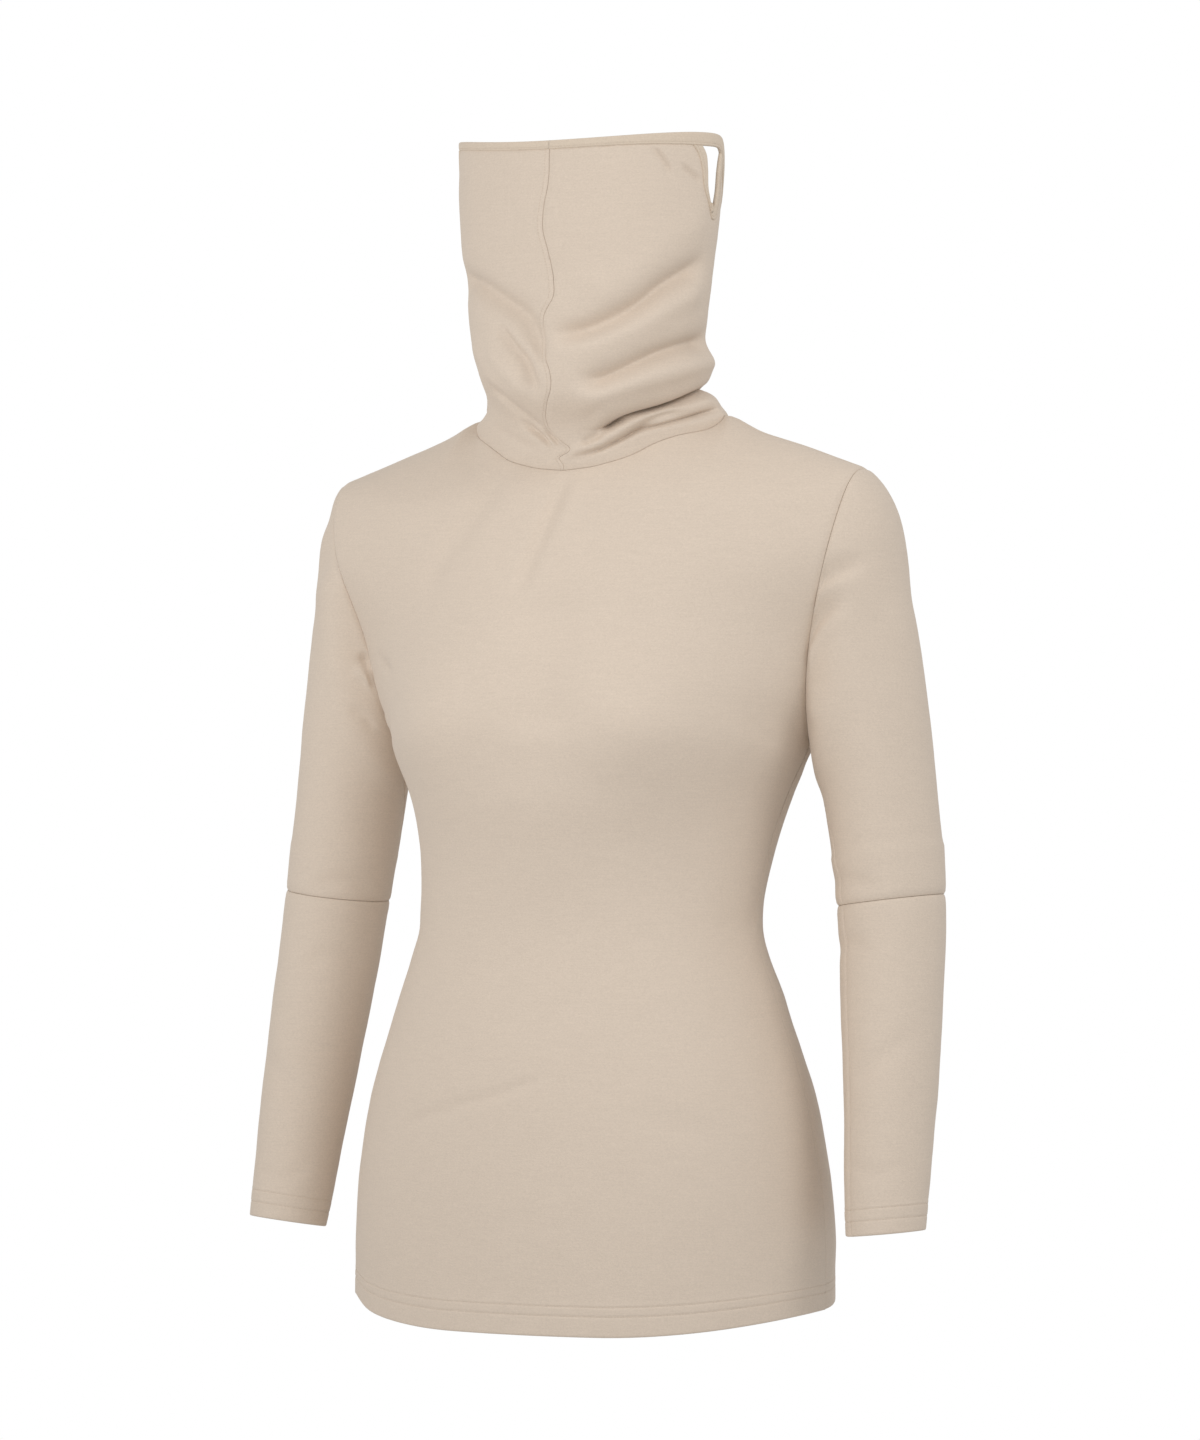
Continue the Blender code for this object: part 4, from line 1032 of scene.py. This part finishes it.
def ear_grid(side):
    """The ear binding's grid, from the cloth's edge to the opening, down the slot's front and up its rear."""
    lap = math.degrees(BINDING_LAP / FOLD_RADIUS)
    paths = []
    for front, rear, foot, drop in EAR_PATHS:
        rises = np.linspace(0.985, foot, 40)
        phase = np.linspace(0, math.pi, 27)[1:-1]
        ends = [smooth_column(SLOT_ROWS, key, np.array([foot]))[0] for key in (front, rear)]
        middle, half = sum(ends) / 2, (ends[1] - ends[0]) / 2
        down, up = smooth_column(SLOT_ROWS, front, rises), smooth_column(SLOT_ROWS, rear, rises[::-1])
        angles = np.concatenate([down, middle - half * np.cos(phase), up])
        heights = np.concatenate([rises, foot - drop * np.sin(phase), rises[::-1]])
        if not paths:
            outwards = np.concatenate([np.full(len(rises), -1.0), -np.cos(phase), np.full(len(rises), 1.0)])
            angles = angles + lap * outwards
            heights = heights - 0.018 * (1 - outwards**2)
        paths.append((angles, heights))
    rows = []
    for share in (0, 0.05, 0.12, 0.22, 0.34, 0.5, 0.66, 0.78, 0.88, 0.95, 1):
        angles = paths[0][0] * (1 - share) + paths[1][0] * share
        heights = paths[0][1] * (1 - share) + paths[1][1] * share
        root = neck_ring(angles)[..., 2]
        up = SLOT_TIP + (1 - SLOT_TIP) * heights
        rows.append(collar_points(side * angles, root + up * (cloth_top_z(side * angles) - root)))
    return np.array(rows)


# ---------------------------------------------------------------- stitches


def line_on(piece, row_value, rows):
    """A line of points and outward directions on a finished piece, at a fractional row."""
    at = int(np.clip(np.searchsorted(rows, row_value) - 1, 0, len(rows) - 2))
    share = (row_value - rows[at]) / (rows[at + 1] - rows[at])
    points = piece.outside[at] * (1 - share) + piece.outside[at + 1] * share
    normals = piece.outside_normals[at] * (1 - share) + piece.outside_normals[at + 1] * share
    if piece.closed:
        points, normals = np.concatenate([points, points[:1]]), np.concatenate([normals, normals[:1]])
    return points, unit(normals)


STITCH_PITCH = 2.1
STITCH_LENGTH = 1.35
THREAD_RADIUS = 0.22
THREAD_SIDES = 6
# The rings of a stitch, as (place along it, girth).
STITCH_RINGS = ((-0.98, 0.35), (-0.7, 0.85), (0.0, 1.0), (0.7, 0.85), (0.98, 0.35))


def stitch_shapes(points, normals, lift, seed):
    """Vertices and faces of a row of thread stitches along a line."""
    run = run_of(points)
    count = int(run[-1] / STITCH_PITCH)
    random = np.random.default_rng(seed)
    vertices, faces = [], []

    def on_line(values, place):
        return np.array([np.interp(place, run, values[:, k]) for k in range(3)])

    for place in (np.arange(count) + 0.5) * run[-1] / count:
        at = on_line(points, place)
        along = on_line(points, place + 0.4) - on_line(points, place - 0.4)
        if np.linalg.norm(along) < 1e-6:
            continue
        along /= np.linalg.norm(along)
        up = on_line(normals, place)
        up -= along * (up @ along)
        up /= np.linalg.norm(up)
        aside = np.cross(along, up)
        lean = random.normal(0, 0.06)
        along, aside = along + lean * aside, aside - lean * along
        size = 1 + random.normal(0, 0.06)
        first = len(vertices)
        for step, girth in STITCH_RINGS:
            height = lift - 0.25 * THREAD_RADIUS * step * step
            middle = at + along * step * STITCH_LENGTH / 2 * size + up * height
            for k in range(THREAD_SIDES):
                phase = 2 * math.pi * k / THREAD_SIDES
                spoke = math.cos(phase) * aside + 0.8 * math.sin(phase) * up
                vertices.append(middle + girth * THREAD_RADIUS * spoke)
        last = len(vertices) - THREAD_SIDES
        for ring in range(first, last, THREAD_SIDES):
            for k in range(THREAD_SIDES):
                a, b = ring + k, ring + (k + 1) % THREAD_SIDES
                faces.append([a, b, b + THREAD_SIDES, a + THREAD_SIDES])
        faces.append(list(range(first + THREAD_SIDES - 1, first - 1, -1)))
        faces.append(list(range(last, last + THREAD_SIDES)))
    return vertices, faces


def stitch_piece(name, lines, material, lift=0.06):
    vertices, faces = [], []
    for seed, (points, normals) in enumerate(lines):
        found, made = stitch_shapes(points, normals, lift, seed + len(name))
        faces += [[corner + len(vertices) for corner in face] for face in made]
        vertices += found
    return make_mesh(name, np.array(vertices), faces, material)


# ---------------------------------------------------------------- materials


def feed(tree, socket, value):
    """Gives a socket a plain value, or links it to another socket."""
    if isinstance(value, bpy.types.NodeSocket):
        tree.links.new(value, socket)
    else:
        socket.default_value = value


def add_node(tree, kind, values, output=0, **settings):
    """One output of a new node, whose inputs are fed with these values."""
    node = tree.nodes.new("ShaderNode" + kind)
    for key, setting in settings.items():
        setattr(node, key, setting)
    for key, value in values.items():
        feed(tree, node.inputs[key], value)
    return node.outputs[output]


def knit_material(name, tone, grain=1.0, sheen=0.22):
    """Matt brushed knit: a heathered tone with a nap."""
    material = bpy.data.materials.new(name)
    material.use_nodes = True
    tree = material.node_tree
    place = add_node(tree, "TexCoord", {}, "Object")

    def noise_of(scale, detail=1.0, rough=0.5):
        vector = add_node(tree, "Mapping", {"Scale": scale, "Vector": place})
        values = {"Scale": 1.0, "Detail": detail, "Roughness": rough, "Vector": vector}
        return add_node(tree, "TexNoise", values, "Fac")

    def mixed(factor, a, b):
        return add_node(tree, "Mix", {"Factor": factor, 6: a, 7: b}, 2, data_type="RGBA")

    def toned(factor, low, dark, light):
        """The tone times `dark` where the factor is low, and times `light`, by channel, where it is high."""
        share = add_node(tree, "MapRange", {"From Min": low, "From Max": 0.7, "Value": factor}, "Result")
        a, b = ((*(channel * k for channel, k in zip(tone, shade)), 1.0) for shade in ((dark,) * 3, light))
        return mixed(share, a, b)

    heather = noise_of((620, 620, 980), 3.0, 0.6)
    flecks = noise_of((1500, 1500, 2300))
    mottle = noise_of((95, 95, 150), 2.0)
    broad = noise_of((9, 9, 7))
    courses = noise_of((60, 60, 1300))
    base = toned(heather, 0.3, 0.84, (1.13,) * 3)
    soft = toned(courses, 0.3, 0.94, (1.06,) * 3)
    wide = toned(broad, 0.3, 0.975, (1.02,) * 3)
    fleck = toned(flecks, 0.35, 0.86, (1.17, 1.18, 1.2))
    nap = add_node(tree, "Math", {0: heather, 1: flecks}, operation="ADD")
    bump = {"Strength": 0.35 * grain, "Distance": 0.0003, "Height": nap}
    finish = {
        "Base Color": mixed(0.4, mixed(0.45, base, soft), mixed(0.45, wide, fleck)),
        "Roughness": add_node(tree, "MapRange", {"To Min": 0.8, "To Max": 0.96, "Value": mottle}, "Result"),
        "Specular IOR Level": 0.25,
        "Sheen Weight": sheen,
        "Sheen Roughness": 0.45,
        "Sheen Tint": (1.0, 0.95, 0.88, 1.0),
        "Normal": add_node(tree, "Bump", bump, "Normal"),
    }
    for key, value in finish.items():
        feed(tree, tree.nodes["Principled BSDF"].inputs[key], value)
    return material


# ---------------------------------------------------------------- the garment


def soften(piece):
    """Adds a piece's small waves, puckers and ripples, and lets its folds die away at the seams."""
    calm = 1 - bell(piece.from_seam, 9.0)
    waves = 0.55 * soft_noise(piece.points, (70, 70, 42), 3.1) + 0.28 * soft_noise(piece.points, 21.0, 7.7)
    fine = 0.07 * soft_noise(piece.points, 7.0, 11.3)
    pucker = 0.28 * soft_noise(piece.points, 6.5, 5.2) * bell(piece.from_seam, 4.5)
    tied = 2.0 if "upper_sleeve" in piece.name else 3.0
    piece.push = piece.push * (1 - bell(piece.from_seam, tied)) + (waves + fine) * calm + pucker
    if piece.from_free is not None:
        free = np.minimum(piece.from_free[0], 60.0)
        ripple = soft_noise(piece.points, (9.0, 9.0, 60.0), 2.4)
        piece.push = piece.push + 0.3 * ripple * bell(free - 16, 8.0)


def cut_pieces():
    """The panels, sleeves and collar halves."""
    positions, rows = panel_positions(), sleeve_positions()
    front_half = add_bust(half_panel(FRONT_ROWS, BACK_ROWS, False, positions))
    back_half = half_panel(BACK_ROWS, FRONT_ROWS, True, positions)
    found = [body_piece("front", front_half, positions, FRONT_FOLDS)]
    found += [body_piece("back", back_half, positions, BACK_FOLDS)]
    for side, word in SIDES:
        sleeve, turns = sleeve_points(front_half, back_half, positions, rows, SEAM_TWIST[word])
        found += sleeve_pieces(side, word, sleeve, turns, rows)
    found += [collar_half(side, word) for side, word in SIDES]
    return found


def dress():
    """Makes all the cloth, and returns its pieces and their objects, both by node."""
    found = cut_pieces()
    for piece in found:
        piece.measure()
    sew_directions(found)
    knit = knit_material("brushed_knit", (0.665, 0.56, 0.46))
    trim = knit_material("binding_knit", (0.65, 0.545, 0.435), grain=0.8)
    pieces, made = {}, {}
    for piece in found:
        soften(piece)
        piece.draw_back()
        pieces[piece.name], made[piece.name] = piece, piece.wall(knit)
    for side, word in SIDES:
        for kind, grid in (("rim_binding_", rim_grid(side)), ("ear_binding_", ear_grid(side))):
            name = kind + word
            pieces[name], made[name] = binding(name, grid, side < 0, trim, RIDGES[kind])
    for name, obj in made.items():
        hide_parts(name)
    return pieces, made


def add_stitches(pieces):
    """The visible stitching, as objects by the node of the piece that they are sewn into."""
    thread = knit_material("thread", (0.635, 0.53, 0.43), grain=0.4, sheen=0.1)
    sewn = {}
    body_rows, sleeve_rows = panel_positions(), sleeve_positions()
    cuff_rows = sleeve_rows[nearest(sleeve_rows, ELBOW) :]
    for name in ("front", "back"):
        lines = [line_on(pieces[name], row / HEM_SCALE, body_rows) for row in HEM_STITCHES]
        sewn[name] = stitch_piece("stitches_hem_" + name, lines, thread)
    for _, word in SIDES:
        name = "lower_sleeve_" + word
        places = [CUFF + 1 - row / SLEEVE_LENGTHS[-1] for row in CUFF_STITCHES]
        lines = [line_on(pieces[name], place, cuff_rows) for place in places]
        sewn[name] = stitch_piece("stitches_cuff_" + word, lines, thread)
        for kind, ridge in RIDGES.items():
            strip = pieces[kind + word]
            at = nearest(strip.share[:, 0], ridge)
            line = (strip.outside[at], strip.outside_normals[at])
            sewn[kind + word] = stitch_piece("stitches_" + kind + word, [line], thread, lift=0.1)
    collar = pieces["collar_right"]
    column = nearest(collar.columns, COLLAR_STITCH_COLUMN)
    line = (collar.outside[:, column], collar.outside_normals[:, column])
    sewn["collar_right"] = stitch_piece("stitches_collar_front", [line], thread, lift=0.05)
    return sewn


# What shows of each cut piece laid flat, in metres: its width, length and area; how it is held, and by what.
Cut = namedtuple("Cut", "width length area held rests_on")


# ---------------------------------------------------------------- the studio

PHOTO_WIDTH, PHOTO_HEIGHT = 1200, 1440
MM_PER_PIXEL = 0.705  # at the garment's middle
DISTANCE = 3600.0
AZIMUTH = 25.0
AXIS_X, HORIZON_Y, ORIGIN_Y = 595.0, 800.0, 425.0  # the body's axis, the horizon and z = 0, in pixels
SENSOR = 36
# (name, place, target, size, power), in metres and watts.
LIGHTS = [
    ("front", (0.23, -1.28, 0.05), (0, 0, 0), 0.6, 3.9),
    ("left", (-0.83, -1.0, 0.16), (0, 0, 0), 0.6, 2.9),
    ("side", (1.8, -0.3, 1.35), (0, 0, -0.2), 1.0, 12),
]
WORLD_LIGHT = 0.635  # the world's strength as a light; the camera sees it at 1
FLOOR_RADIUS, FLOOR_Z = 1.5, -0.93
WHITE = (1, 1, 1, 1)


def add_camera():
    data = bpy.data.cameras.new("camera")
    camera = bpy.data.objects.new("camera", data)
    bpy.context.scene.collection.objects.link(camera)
    bpy.context.scene.camera = camera
    turn = math.radians(AZIMUTH)
    height = -(HORIZON_Y - ORIGIN_Y) * MM_PER_PIXEL
    camera.location = Vector((DISTANCE * math.sin(turn), -DISTANCE * math.cos(turn), height)) * MM
    camera.rotation_euler = (math.radians(90), 0, turn)
    data.sensor_fit = "HORIZONTAL"
    data.sensor_width = SENSOR
    data.lens = SENSOR * DISTANCE / (PHOTO_WIDTH * MM_PER_PIXEL)
    data.shift_x = (PHOTO_WIDTH / 2 - AXIS_X) / PHOTO_WIDTH
    data.shift_y = (HORIZON_Y - PHOTO_HEIGHT / 2) / PHOTO_WIDTH
    data.clip_end = 50


def add_light(name, place, target, size, power):
    data = bpy.data.lights.new(name, "AREA")
    data.shape = "DISK"
    data.size = size
    data.energy = power
    light = bpy.data.objects.new(name, data)
    light.location = place
    light.visible_camera = False
    light.rotation_euler = (Vector(target) - Vector(place)).to_track_quat("-Z", "Y").to_euler()
    bpy.context.scene.collection.objects.link(light)


def add_world():
    """A plain white world, dimmer as a light than the camera sees it."""
    world = bpy.data.worlds.new("studio")
    bpy.context.scene.world = world
    world.use_nodes = True
    tree = world.node_tree
    background = tree.nodes["Background"]
    background.inputs["Color"].default_value = WHITE
    background.inputs["Strength"].default_value = WORLD_LIGHT
    seen = add_node(tree, "Background", {"Color": WHITE, "Strength": 1.0})
    by_camera = add_node(tree, "LightPath", {}, "Is Camera Ray")
    shader = add_node(tree, "MixShader", {"Fac": by_camera, 1: background.outputs[0], 2: seen})
    tree.links.new(shader, tree.nodes["World Output"].inputs["Surface"])


def add_floor():
    bpy.ops.mesh.primitive_circle_add(
        vertices=128, radius=FLOOR_RADIUS, fill_type="NGON", location=(0, 0, FLOOR_Z)
    )
    floor = bpy.context.object
    floor.name = "floor"
    pale = bpy.data.materials.new("pale_floor")
    pale.use_nodes = True
    pale.node_tree.nodes["Principled BSDF"].inputs["Base Color"].default_value = (0.7, 0.7, 0.7, 1)
    pale.node_tree.nodes["Principled BSDF"].inputs["Roughness"].default_value = 0.9
    floor.data.materials.append(pale)


bpy.context.scene.view_settings.view_transform = "Standard"
add_camera()
add_world()
for light in LIGHTS:
    add_light(*light)
add_floor()
pieces, made = dress()
sewn = add_stitches(pieces)
